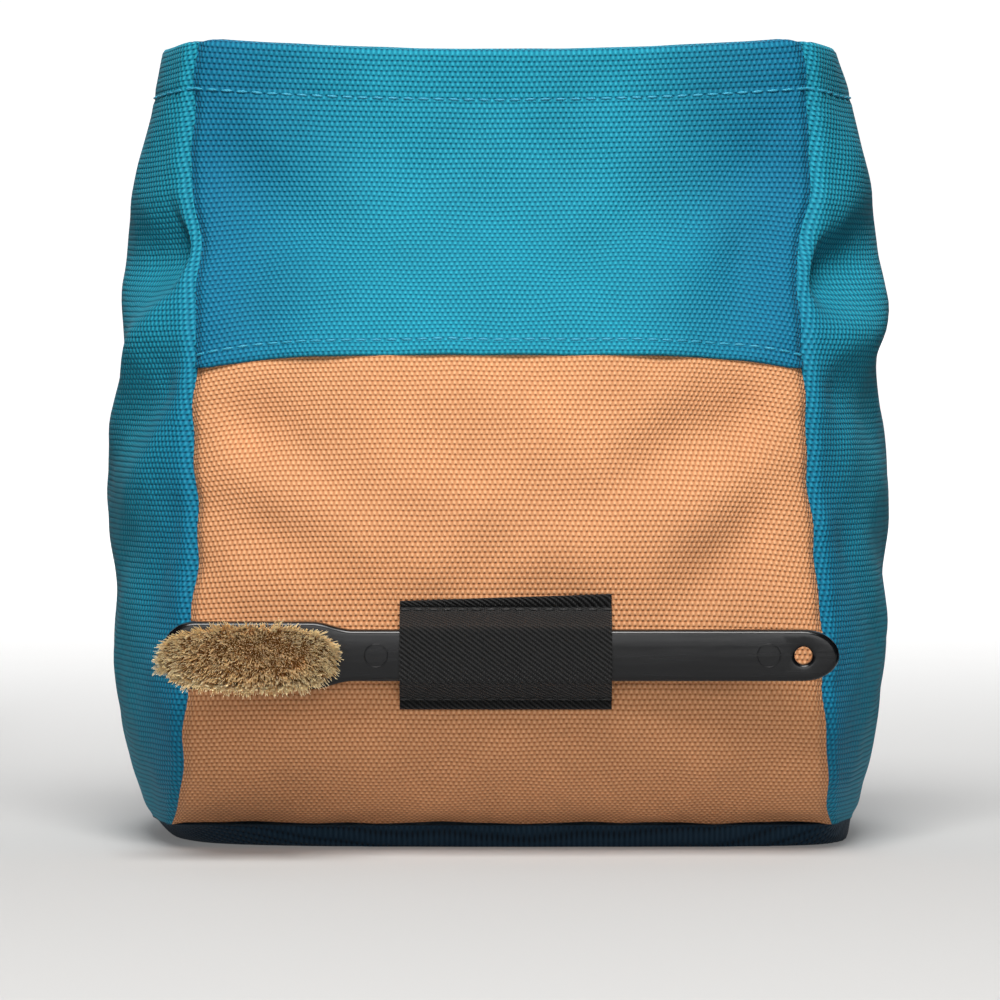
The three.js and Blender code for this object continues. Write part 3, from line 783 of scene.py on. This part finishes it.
def randomVector(tree, reach, seed):
    # a vector with each part between -reach and reach
    inputs = {0: [-reach] * 3, 1: [reach] * 3, "Seed": seed}
    return addNode(tree, "FunctionNodeRandomValue", {"data_type": "FLOAT_VECTOR"}, inputs).outputs[0]


def instances(tree, points, instance, rotation, scale):
    inputs = {"Points": points, "Instance": instance, "Rotation": rotation, "Scale": scale}
    return addNode(tree, "GeometryNodeInstanceOnPoints", None, inputs)


def finishTree(tree, grown, material):
    shown = addNode(tree, "GeometryNodeSetMaterial", None, {"Geometry": grown, "Material": material})
    addNode(tree, "NodeGroupOutput", None, {0: shown})
    return tree


def stitchTree():
    tree = bpy.data.node_groups.new("topStitching", "GeometryNodeTree")
    given = namedInputs(tree, {
        "Pitch": "Float",
        "Stitch Length": "Float",
        "Thread Radius": "Float",
        "Seed": "Int",
        "Thread": "Material",
    })
    seam = addNode(tree, "GeometryNodeMeshToCurve", None, {"Mesh": given["Geometry"]})
    spacing = {"Curve": seam, "Length": given["Pitch"]}
    holes = addNode(tree, "GeometryNodeResampleCurve", {"mode": "LENGTH"}, spacing)
    tangent = addNode(tree, "GeometryNodeInputTangent")
    along = addNode(tree, "FunctionNodeAlignRotationToVector", {"axis": "X"}, {"Vector": tangent})
    tilt = randomVector(tree, stitching["lean"], given["Seed"])
    lean = addNode(tree, "FunctionNodeEulerToRotation", None, {0: tilt})
    turned = addNode(tree, "FunctionNodeRotateRotation", {"rotation_space": "LOCAL"}, {0: along, 1: lean})
    thickness = calc(tree, "MULTIPLY", given["Thread Radius"], 2)
    lengths = {0: given["Stitch Length"], 1: thickness, 2: thickness}
    size = addNode(tree, "ShaderNodeCombineXYZ", None, lengths)
    # a bead of unit size, drawn out to each stitch
    bead = addNode(tree, "GeometryNodeMeshIcoSphere", None, {"Radius": 0.5, "Subdivisions": 2})
    laid = instances(tree, holes, bead, turned, size)
    real = addNode(tree, "GeometryNodeRealizeInstances", None, {0: laid})
    smooth = addNode(tree, "GeometryNodeSetShadeSmooth", None, {0: real})
    return finishTree(tree, smooth, given["Thread"])


def threadMaterial(name, colour):
    # bonded nylon thread: a tight twist, slightly shiny
    look = {"Roughness": 0.5, "Specular IOR Level": 0.4, "Sheen Weight": 0.1}
    material, tree, shader = newMaterial(name, look)
    place = addNode(tree, "ShaderNodeTexCoord").outputs["Object"]
    bands = {"Vector": place, "Scale": stitching["twistsPerMetre"]}
    twist = addNode(tree, "ShaderNodeTexWave", {"bands_direction": "DIAGONAL"}, bands).outputs["Fac"]
    # painted shade and highlight: the colour follows the twist's relief, darker in its grooves and lighter on
    # its crests
    tone = mapRange(tree, twist, 0.0, 1.0, 0.75, 1.1)
    shade = addNode(tree, "ShaderNodeHueSaturation", None, {"Color": hexColour(colour), "Value": tone})
    tree.links.new(shade.outputs[0], shader.inputs["Base Color"])
    addRelief(tree, shader, twist, 0.3, 0.05)
    return material


topStitching = stitchTree()
clothStitch = {
    "pitch": 4.0,
    "length": 3.1,
    "thread": threadMaterial("nylonThreadBlueGreen", "#2c9dbd"),
    "finish": "blue_green_cloth",
}
bandStitch = {
    "pitch": 3.75,
    "length": 2.9,
    "thread": threadMaterial("nylonThreadBlack", "#191a1b"),
    "finish": "black_elastic",
}


def stitchRow(name, line, stitch, seed):
    values = {
        "Pitch": stitch["pitch"] * mm,
        "Stitch Length": stitch["length"] * mm,
        "Thread Radius": stitching["radius"] * mm,
        "Seed": seed,
        "Thread": stitch["thread"],
    }
    edges = [(i, i + 1) for i in range(len(line) - 1)]
    row = growOn(np.asarray(line) * mm, edges, [], topStitching, values, name)
    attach(row, "bag")


def lineOnPanel(grids, heightAt, margin):
    # a line across a finished panel's outer side at a height for each column, without some end columns
    outer = grids["outer"]
    normal = normalsOf(outer)
    line = []
    for column, target in enumerate(heightAt):
        heights = grids["height"][:, column]
        spot = [np.interp(target, heights, outer[:, column, k]) for k in range(3)]
        lift = [np.interp(target, heights, normal[:, column, k]) for k in range(3)]
        line.append(np.array(spot) + np.array(lift) * stitching["proud"])
    return line[margin:-margin]


seamLine = colourSeam("front", frontUpper["along"]) + cloth["stitchInset"]
seamStitches = lineOnPanel(frontUpper, seamLine, stitching["margin"])
stitchRow("colourSeamStitches", seamStitches, clothStitch, 3)
for panel, grids in {"front": frontUpper, **sides}.items():
    hemLine = mouthLine(panel, grids["along"]) - bag["hem"] + cloth["stitchInset"]
    hemStitches = lineOnPanel(grids, hemLine, stitching["margin"])
    stitchRow(panel + "HemStitches", hemStitches, clothStitch, 5)
print("top-stitching sewn")

# The elastic loop: a twill band sewn to the front above and below the brush, in millimetres.
loop = {
    "centre": 1.5,
    "height": 53.5,
    "width": 55.2,
    "band": 1.3,
    "rise": 4.7,
    "tailBelow": 2.4,
    "tailAboveLeft": 1.8,
    "tailAboveRight": 3.6,
    "clearance": 0.35,
    "bow": 0.4,
    "columns": 48,
    "smoothing": 5,
    "stitchSink": 0.25,
    "stitchWidth": 0.8,
    "crowding": 0.5,
    "margin": 2,
}
handle = {
    "height": 13.4,
    "thickness": 5.4,
    "edge": 1.3,
    "tail": 59,
    "tailRounding": 9.5,
    "neck": 12,
    "flare": 11,
    "head": 39,
    "headHeight": 17.6,
    "hole": 4.6,
    "holeInset": 9.3,
    "holeEdge": 1.0,
    "holeSteps": 40,
    "edgeSteps": 6,
    "arcSteps": 28,
    "flareSteps": 14,
    "straightSteps": (20, 8),
    "marks": (69.8, -32.2),
    "markRadius": 3.0,
    "markWire": 0.16,
    "markProud": 0.072,
    "markSteps": (48, 8),
}
loopLeft = loop["centre"] - loop["width"] / 2
loopRight = loop["centre"] + loop["width"] / 2
tailEnd = loopRight + handle["tail"]
flareEnd = loopLeft - handle["neck"]
headRight = flareEnd - handle["flare"]
headEnd = headRight - handle["head"]
handleLow = loop["height"] - handle["height"] / 2
handleHigh = loop["height"] + handle["height"] / 2
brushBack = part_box("brush_handle")[1][1] / mm
brushFace = brushBack - handle["thickness"]


def frontAt(x, height):
    left = cornerSeam((-1, -1), height)[..., 0]
    right = cornerSeam((1, -1), height)[..., 0]
    return skin("front", (x - left) / (right - left), height)[..., 1]


def loopLine(x):
    # the band's inner line at one x, from its lower tail over the handle to its upper tail
    share = (x - loopLeft) / loop["width"]
    tailAbove = loop["tailAboveLeft"] * (1 - share) + loop["tailAboveRight"] * share
    edge = handle["edge"]
    around = edge + loop["clearance"]

    def onCloth(height):
        return (height, float(frontAt(x, np.array(height, float))) - loop["clearance"])

    def side(sign, limit):
        stitch = onCloth(limit + sign * loop["rise"])
        corner = []
        for degrees in (0, 45, 90):
            angle = math.radians(degrees)
            beyond = around * math.cos(angle) - edge
            corner.append((limit + sign * beyond, brushFace + edge - around * math.sin(angle)))
        sag = (limit + sign * loop["rise"] / 2, (stitch[1] + corner[0][1]) / 2 - loop["band"] / 2)
        return [stitch, sag] + corner

    bottom = onCloth(handleLow - loop["rise"] - loop["tailBelow"])
    top = onCloth(handleHigh + loop["rise"] + tailAbove)
    crest = (loop["height"], brushFace - loop["clearance"] - loop["bow"])
    return [bottom] + side(-1, handleLow) + [crest] + side(1, handleHigh)[::-1] + [top]


def throughPoints(points, steps):
    # a smooth line through all points
    points = np.asarray(points, float)
    ends = np.concatenate([[2 * points[0] - points[1]], points, [2 * points[-1] - points[-2]]])
    line = []
    for i in range(len(points) - 1):
        a, b, c, d = ends[i : i + 4]
        for t in np.arange(steps) / steps:
            pull = (c - a) * t + (2 * a - 5 * b + 4 * c - d) * t**2 + (3 * b - a - 3 * c + d) * t**3
            line.append(b + pull / 2)
    line.append(points[-1])
    return np.array(line)


def loopPiece():
    xs = loopLeft + loop["width"] * shares(loop["columns"], loop["crowding"])
    inner = []
    outer = []
    for x in xs:
        line = throughPoints(loopLine(x), loop["smoothing"])
        step = np.gradient(line, axis=0)
        step /= np.linalg.norm(step, axis=1, keepdims=True)
        out = np.stack([step[:, 1], -step[:, 0]], -1)
        pulled = np.zeros(len(line))
        for stitchHeight in (handleLow - loop["rise"], handleHigh + loop["rise"]):
            distance = (line[:, 0] - stitchHeight) / loop["stitchWidth"]
            pulled += loop["stitchSink"] * np.exp(-(distance**2))
        moved = line + out * (loop["band"] - pulled)[:, None]
        inner.append([(x, y, z) for z, y in line])
        outer.append([(x, y, z) for z, y in moved])
    outer = np.array(outer).transpose(1, 0, 2)
    inner = np.array(inner).transpose(1, 0, 2)
    u, v = arcLengths(outer)
    grids = {"outer": outer, "inner": inner, "u": u, "v": v, "height": outer[..., 2]}
    return grids, sheetPiece("elasticLoop", grids, [twillElastic, twillElastic])


twill = {
    "rib": 1.3,
    "cross": 0.55,
    "slant": 0.75,
    "crossShare": 0.35,
    "low": -1.1,
    "high": 1.35,
    "depth": 0.25,
}


def twillBand(name):
    # twill-woven elastic: diagonal ribs of textured black yarn, matt, with a painted highlight on each rib's
    # crest
    look = {"Roughness": 0.6, "Specular IOR Level": 0.25, "Sheen Weight": 0.05}
    material, tree, shader = newMaterial(name, look)
    uv = addNode(tree, "ShaderNodeUVMap", {"uv_map": "clothMillimetres"})
    parts = addNode(tree, "ShaderNodeSeparateXYZ", None, {0: uv})
    across = parts.outputs["X"]
    slanted = calc(tree, "MULTIPLY_ADD", across, twill["slant"], parts.outputs["Y"])
    rib = calc(tree, "SINE", calc(tree, "MULTIPLY", slanted, 2 * math.pi / twill["rib"]))
    cross = calc(tree, "SINE", calc(tree, "MULTIPLY", across, 2 * math.pi / twill["cross"]))
    relief = calc(tree, "MULTIPLY_ADD", cross, twill["crossShare"], rib)
    # painted highlight and shade: the colour follows the relief, lighter on the crests and darker in the
    # grooves
    lift = mapRange(tree, relief, twill["low"], twill["high"])
    colour = mixColour(tree, lift, hexColour("#050506"), hexColour("#242526"))
    tree.links.new(colour, shader.inputs["Base Color"])
    addRelief(tree, shader, relief, 1.0, twill["depth"])
    return material


twillElastic = twillBand("twillElasticBlack")
loopGrids, elasticLoop = loopPiece()
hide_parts("brush_loop")
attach(elasticLoop, "bag")
for label, stitchHeight in (("Lower", handleLow - loop["rise"]), ("Upper", handleHigh + loop["rise"])):
    columns = loopGrids["outer"].shape[1]
    line = lineOnPanel(loopGrids, [stitchHeight] * columns, loop["margin"])
    stitchRow("loop" + label + "Stitches", line, bandStitch, 7)
print("elastic loop sewn, flat height in mm:", round(loopGrids["v"].max(), 1))


# The brush: a moulded handle with a hanging hole, and boar bristles in its head.
def straight(start, end, count):
    # points between the ends of a level line
    inner = np.linspace(0, 1, count + 2)[1:-1]
    return [(start[0] + (end[0] - start[0]) * t, start[1]) for t in inner]


def handleOutline():
    # round the tail, along the top to the head, round the head and back along the bottom
    half = handle["height"] / 2
    headHalf = handle["headHeight"] / 2
    steps = handle["arcSteps"]
    shaftSteps, headSteps = handle["straightSteps"]
    ease = np.linspace(0, 1, handle["flareSteps"] + 2)
    tail = [
        (tailEnd - handle["tailRounding"] * (1 - math.cos(a)), half * math.sin(a))
        for a in np.linspace(-math.pi / 2, math.pi / 2, steps)
    ]
    flare = [(flareEnd - handle["flare"] * t, half + (headHalf - half) * (3 * t**2 - 2 * t**3)) for t in ease]
    head = [
        (headEnd + headHalf * (1 + math.cos(a)), headHalf * math.sin(a))
        for a in np.linspace(math.pi / 2, 1.5 * math.pi, steps)
    ]
    top = straight(tail[-1], flare[0], shaftSteps) + flare + straight(flare[-1], head[0], headSteps)
    bottom = [(x, -z) for x, z in top[::-1]]
    return np.array(tail + top + head + bottom)


def outlineNormals(outline):
    step = np.roll(outline, -1, 0) - np.roll(outline, 1, 0)
    normal = np.stack([step[:, 1], -step[:, 0]], -1)
    return normal / np.linalg.norm(normal, axis=1, keepdims=True)


def handleWall(build, shape, direction, edge):
    # rings from the back face round the rounded edges to the front face; gives the first and the last
    bands = []
    for k in range(handle["edgeSteps"] + 1):
        a = math.pi / 2 * k / handle["edgeSteps"]
        bands.append((edge * (1 - math.sin(a)), brushBack - edge * (1 - math.cos(a))))
    bands += [(inset, brushFace + brushBack - y) for inset, y in bands[::-1]]
    made = []
    for inset, y in bands:
        points = shape - direction * inset
        made.append([build.verts.new((x * mm, y * mm, (z + loop["height"]) * mm)) for x, z in points])
    for low, high in zip(made, made[1:]):
        for i in range(len(low)):
            j = (i + 1) % len(low)
            build.faces.new((low[i], low[j], high[j], high[i]))
    return made[0], made[-1]


def addMark(build, centre):
    # a thin raised ring on the front face, as an ejector mark leaves
    around, across = handle["markSteps"]
    rings = []
    for a in np.linspace(0, 2 * math.pi, around, endpoint=False):
        ring = []
        for b in np.linspace(0, 2 * math.pi, across, endpoint=False):
            reach = handle["markRadius"] + handle["markWire"] * math.cos(b)
            x = centre + reach * math.cos(a)
            y = brushFace + handle["markProud"] * math.sin(b)
            z = loop["height"] + reach * math.sin(a)
            ring.append(build.verts.new((x * mm, y * mm, z * mm)))
        rings.append(ring)
    for i in range(around):
        for j in range(across):
            first, second = rings[i], rings[(i + 1) % around]
            k = (j + 1) % across
            build.faces.new((first[j], first[k], second[k], second[j]))


def handlePiece(material):
    outline = handleOutline()
    holeAt = tailEnd - handle["holeInset"]
    angles = np.linspace(0, 2 * math.pi, handle["holeSteps"], endpoint=False)
    circle = np.stack([np.cos(angles), np.sin(angles)], -1)
    hole = circle * handle["hole"] / 2 + [holeAt, 0]
    build = bmesh.new()
    outerRings = handleWall(build, outline, outlineNormals(outline), handle["edge"])
    holeRings = handleWall(build, hole, -circle, handle["holeEdge"])
    for rings in zip(outerRings, holeRings):
        edges = []
        for ring in rings:
            for i, vert in enumerate(ring):
                edges.append(build.edges.get((vert, ring[(i + 1) % len(ring)])))
        bmesh.ops.triangle_fill(build, use_beauty=True, edges=edges)
    for centre in handle["marks"]:
        addMark(build, centre)
    bmesh.ops.remove_doubles(build, verts=build.verts, dist=1e-7)
    bmesh.ops.recalc_face_normals(build, faces=build.faces)
    mesh = bpy.data.meshes.new("brushHandle")
    build.to_mesh(mesh)
    build.free()
    mesh.polygons.foreach_set("use_smooth", [True] * len(mesh.polygons))
    mesh.materials.append(material)
    return addObject("brushHandle", mesh)


plastic = {"peelsPerMetre": 700, "rubsPerMetre": (40, 900, 900), "polished": 0.16, "rubbed": 0.3}


def mouldedPlastic(name):
    # injection-moulded polypropylene: black, half gloss, with a faint orange-peel and hairline rubs
    look = {"IOR": 1.49, "Specular IOR Level": 0.32, "Coat Weight": 0.05, "Coat Roughness": 0.1}
    material, tree, shader = newMaterial(name, look)
    place = addNode(tree, "ShaderNodeTexCoord").outputs["Object"]
    peel = noise(tree, place, plastic["peelsPerMetre"], 2)
    drawn = addNode(tree, "ShaderNodeMapping", None, {"Vector": place, "Scale": plastic["rubsPerMetre"]})
    rubs = noise(tree, drawn, 1.0, 4)
    rough = mapRange(tree, rubs, 0.35, 0.7, plastic["polished"], plastic["rubbed"])
    tree.links.new(rough.outputs[0], shader.inputs["Roughness"])
    tint = mixColour(tree, rubs, hexColour("#050608"), hexColour("#0c0d10"))
    tree.links.new(tint, shader.inputs["Base Color"])
    addRelief(tree, shader, peel, 0.12, 0.1)
    return material


brushHandle = handlePiece(mouldedPlastic("mouldedPolypropyleneBlack"))
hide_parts("brush_handle")
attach(brushHandle, "brush")
print("brush handle moulded")

# Boar bristles: lengths in millimetres, spreads as the slope of the outermost strands.
bristle = {
    "length": 15.4,
    "shortest": 0.8,
    "longest": 1.03,
    "inset": 1.2,
    "sunk": 0.2,
    "reach": 0.6,
    "squareness": 0.8,
    "egg": 0.08,
    "spreadAcross": 0.16,
    "spreadUp": 0.16,
    "wild": 0.07,
    "locksPerMetre": 420,
    "lockLean": 0.3,
    "perSquare": 20,
    "rootRadius": 0.13,
    "tipRadius": 0.08,
    "darkest": 0.15,
    "rimFrom": 0.6,
    "rimPaler": 0.5,
    "ringSteps": 64,
    "streaksPerMetre": 3000,
    "streakSquash": (1, 0.06, 1),
}

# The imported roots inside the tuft, as a few rings: how wide, in shares of the field, and how far out.
roots = table("wide out", [(1.0, 0.1), (1.06, 6.3), (1.04, 10.5), (0.6, 11.7)])


def bristleMaterial(name):
    # boar bristle: stiff natural hair, golden with darker brown strands, the strands paler towards the rim of
    # the field
    look = {"Roughness": 0.5, "Specular IOR Level": 0.45, "Sheen Weight": 0.1}
    material, tree, shader = newMaterial(name, look)
    tone = addNode(tree, "ShaderNodeAttribute", {"attribute_name": "tone"})
    ramp = addNode(tree, "ShaderNodeValToRGB", None, {0: tone.outputs["Fac"]})
    stops = [(0.0, "#8c5c34"), (0.25, "#dba562"), (0.5, "#f7cd8b"), (0.78, "#ffdda0"), (1.0, "#ffefc6")]
    elements = ramp.color_ramp.elements
    for position, colour in stops[1:-1]:
        elements.new(position)
    for element, (position, colour) in zip(elements, stops):
        element.position = position
        element.color = hexColour(colour)
    tree.links.new(ramp.outputs[0], shader.inputs["Base Color"])
    return material


def bristleTree():
    tree = bpy.data.node_groups.new("bristleField", "GeometryNodeTree")
    given = namedInputs(tree, {
        "Density": "Float",
        "Length": "Float",
        "Root Radius": "Float",
        "Tip Radius": "Float",
        "Middle": "Vector",
        "Half Size": "Vector",
        "Spread": "Vector",
        "Wildness": "Float",
        "Seed": "Int",
        "Bristle": "Material",
    })
    seed = given["Seed"]
    sowing = {"Mesh": given["Geometry"], "Density": given["Density"], "Seed": seed}
    sown = addNode(tree, "GeometryNodeDistributePointsOnFaces", None, sowing)
    position = addNode(tree, "GeometryNodeInputPosition")
    fromMiddle = vectorCalc(tree, "SUBTRACT", position, given["Middle"])
    share = vectorCalc(tree, "DIVIDE", fromMiddle, given["Half Size"])
    # each strand leans outwards, with its lock of neighbours, and a little by itself
    spread = vectorCalc(tree, "MULTIPLY", share, given["Spread"])
    wild = vectorCalc(tree, "SCALE", randomVector(tree, 1, seed), given["Wildness"])
    locks = noise(tree, fromMiddle, bristle["locksPerMetre"], 1.0)
    lockLean = vectorCalc(tree, "SUBTRACT", locks.outputs["Color"], (0.5, 0.5, 0.5))
    lockScaled = vectorCalc(tree, "SCALE", lockLean, bristle["lockLean"])
    leaning = spread
    for part in ((0, -1, 0), wild, lockScaled):
        leaning = vectorCalc(tree, "ADD", leaning, part)
    turn = addNode(tree, "FunctionNodeAlignRotationToVector", {"axis": "Z"}, {"Vector": leaning})
    hair = addNode(tree, "GeometryNodeMeshCone", None, {
        "Vertices": 3,
        "Side Segments": 1,
        "Radius Top": given["Tip Radius"],
        "Radius Bottom": given["Root Radius"],
        "Depth": given["Length"],
    })
    stretch = randomFloat(tree, bristle["shortest"], bristle["longest"], seed)
    size = addNode(tree, "ShaderNodeCombineXYZ", None, {0: 1.0, 1: 1.0, 2: stretch})
    rim = vectorCalc(tree, "LENGTH", share).outputs["Value"]
    paler = mapRange(tree, rim, bristle["rimFrom"], 1.0, 0.0, bristle["rimPaler"])
    tone = calc(tree, "ADD", randomFloat(tree, bristle["darkest"], 1.0, seed), paler)
    storing = {"data_type": "FLOAT", "domain": "POINT"}
    stored = {"Geometry": sown, "Name": "tone", "Value": tone}
    kept = addNode(tree, "GeometryNodeStoreNamedAttribute", storing, stored)
    laid = instances(tree, kept, hair, turn, size)
    real = addNode(tree, "GeometryNodeRealizeInstances", None, {0: laid})
    return finishTree(tree, real, given["Bristle"])


def bristleField():
    # the egg-shaped field of the head that the bristles are set in: middle, half length and half height
    right = headRight + handle["flare"] * bristle["reach"]
    middle = (headEnd + right) / 2
    halfLength = (right - headEnd) / 2 - bristle["inset"]
    halfHeight = handle["headHeight"] / 2 - bristle["inset"]
    return middle, halfLength, halfHeight


def fieldRing(scale, out):
    middle, halfLength, halfHeight = bristleField()
    ring = []
    for angle in np.linspace(0, 2 * math.pi, bristle["ringSteps"], endpoint=False):
        c, s = math.cos(angle), math.sin(angle)
        egg = 1 + bristle["egg"] * (c - 1)
        x = middle + halfLength * scale * math.copysign(abs(c) ** bristle["squareness"], c)
        z = loop["height"] + halfHeight * scale * egg * math.copysign(abs(s) ** bristle["squareness"], s)
        ring.append((x * mm, (brushFace - out) * mm, z * mm))
    return ring


def bristlePiece(material):
    middle, halfLength, halfHeight = bristleField()
    steps = bristle["ringSteps"]
    sunk = bristle["sunk"]
    points = [(middle * mm, (brushFace - sunk) * mm, loop["height"] * mm)] + fieldRing(1, sunk)
    faces = [(0, 1 + (i + 1) % steps, 1 + i) for i in range(steps)]
    values = {
        "Density": bristle["perSquare"] / mm**2,
        "Length": bristle["length"] * mm,
        "Root Radius": bristle["rootRadius"] * mm,
        "Tip Radius": bristle["tipRadius"] * mm,
        "Middle": (middle * mm, brushFace * mm, loop["height"] * mm),
        "Half Size": (halfLength * mm, 1.0, halfHeight * mm),
        "Spread": (bristle["spreadAcross"], 0.0, bristle["spreadUp"]),
        "Wildness": bristle["wild"],
        "Seed": 11,
        "Bristle": material,
    }
    return growOn(points, [], faces, bristleTree(), values, "boarBristles")


def rootsPiece(material):
    # the imported roots, painted dark for the shade between the strands
    steps = bristle["ringSteps"]
    last = len(roots) - 1
    points = [point for ring in roots for point in fieldRing(ring["wide"], ring["out"])]
    faces = [list(range(steps)), list(range(last * steps, (last + 1) * steps))[::-1]]
    for low in range(last):
        for i in range(steps):
            here = low * steps + i
            beside = low * steps + (i + 1) % steps
            faces.append([here, here + steps, beside + steps, beside])
    return meshPiece("bristleRoots", points, faces, [material], smooth=False)


def rootMaterial(name):
    # bristle roots packed side by side: darker than the bristles as painted shade among them, with lengthwise
    # streaks
    material, tree, shader = newMaterial(name, {"Roughness": 0.75})
    place = addNode(tree, "ShaderNodeTexCoord").outputs["Object"]
    drawn = addNode(tree, "ShaderNodeMapping", None, {"Vector": place, "Scale": bristle["streakSquash"]})
    streaks = noise(tree, drawn, bristle["streaksPerMetre"], 2)
    colour = mixColour(tree, streaks, hexColour("#3c2613"), hexColour("#a9763c"))
    tree.links.new(colour, shader.inputs["Base Color"])
    addRelief(tree, shader, streaks, 0.8, 0.3)
    return material


boarBristles = bristlePiece(bristleMaterial("boarBristleGolden"))
bristleRoots = rootsPiece(rootMaterial("boarBristleRoots"))
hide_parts("brush_bristles")
for piece in (boarBristles, bristleRoots):
    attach(piece, "brush")
print("bristles set:", len(boarBristles.data.polygons), "faces")
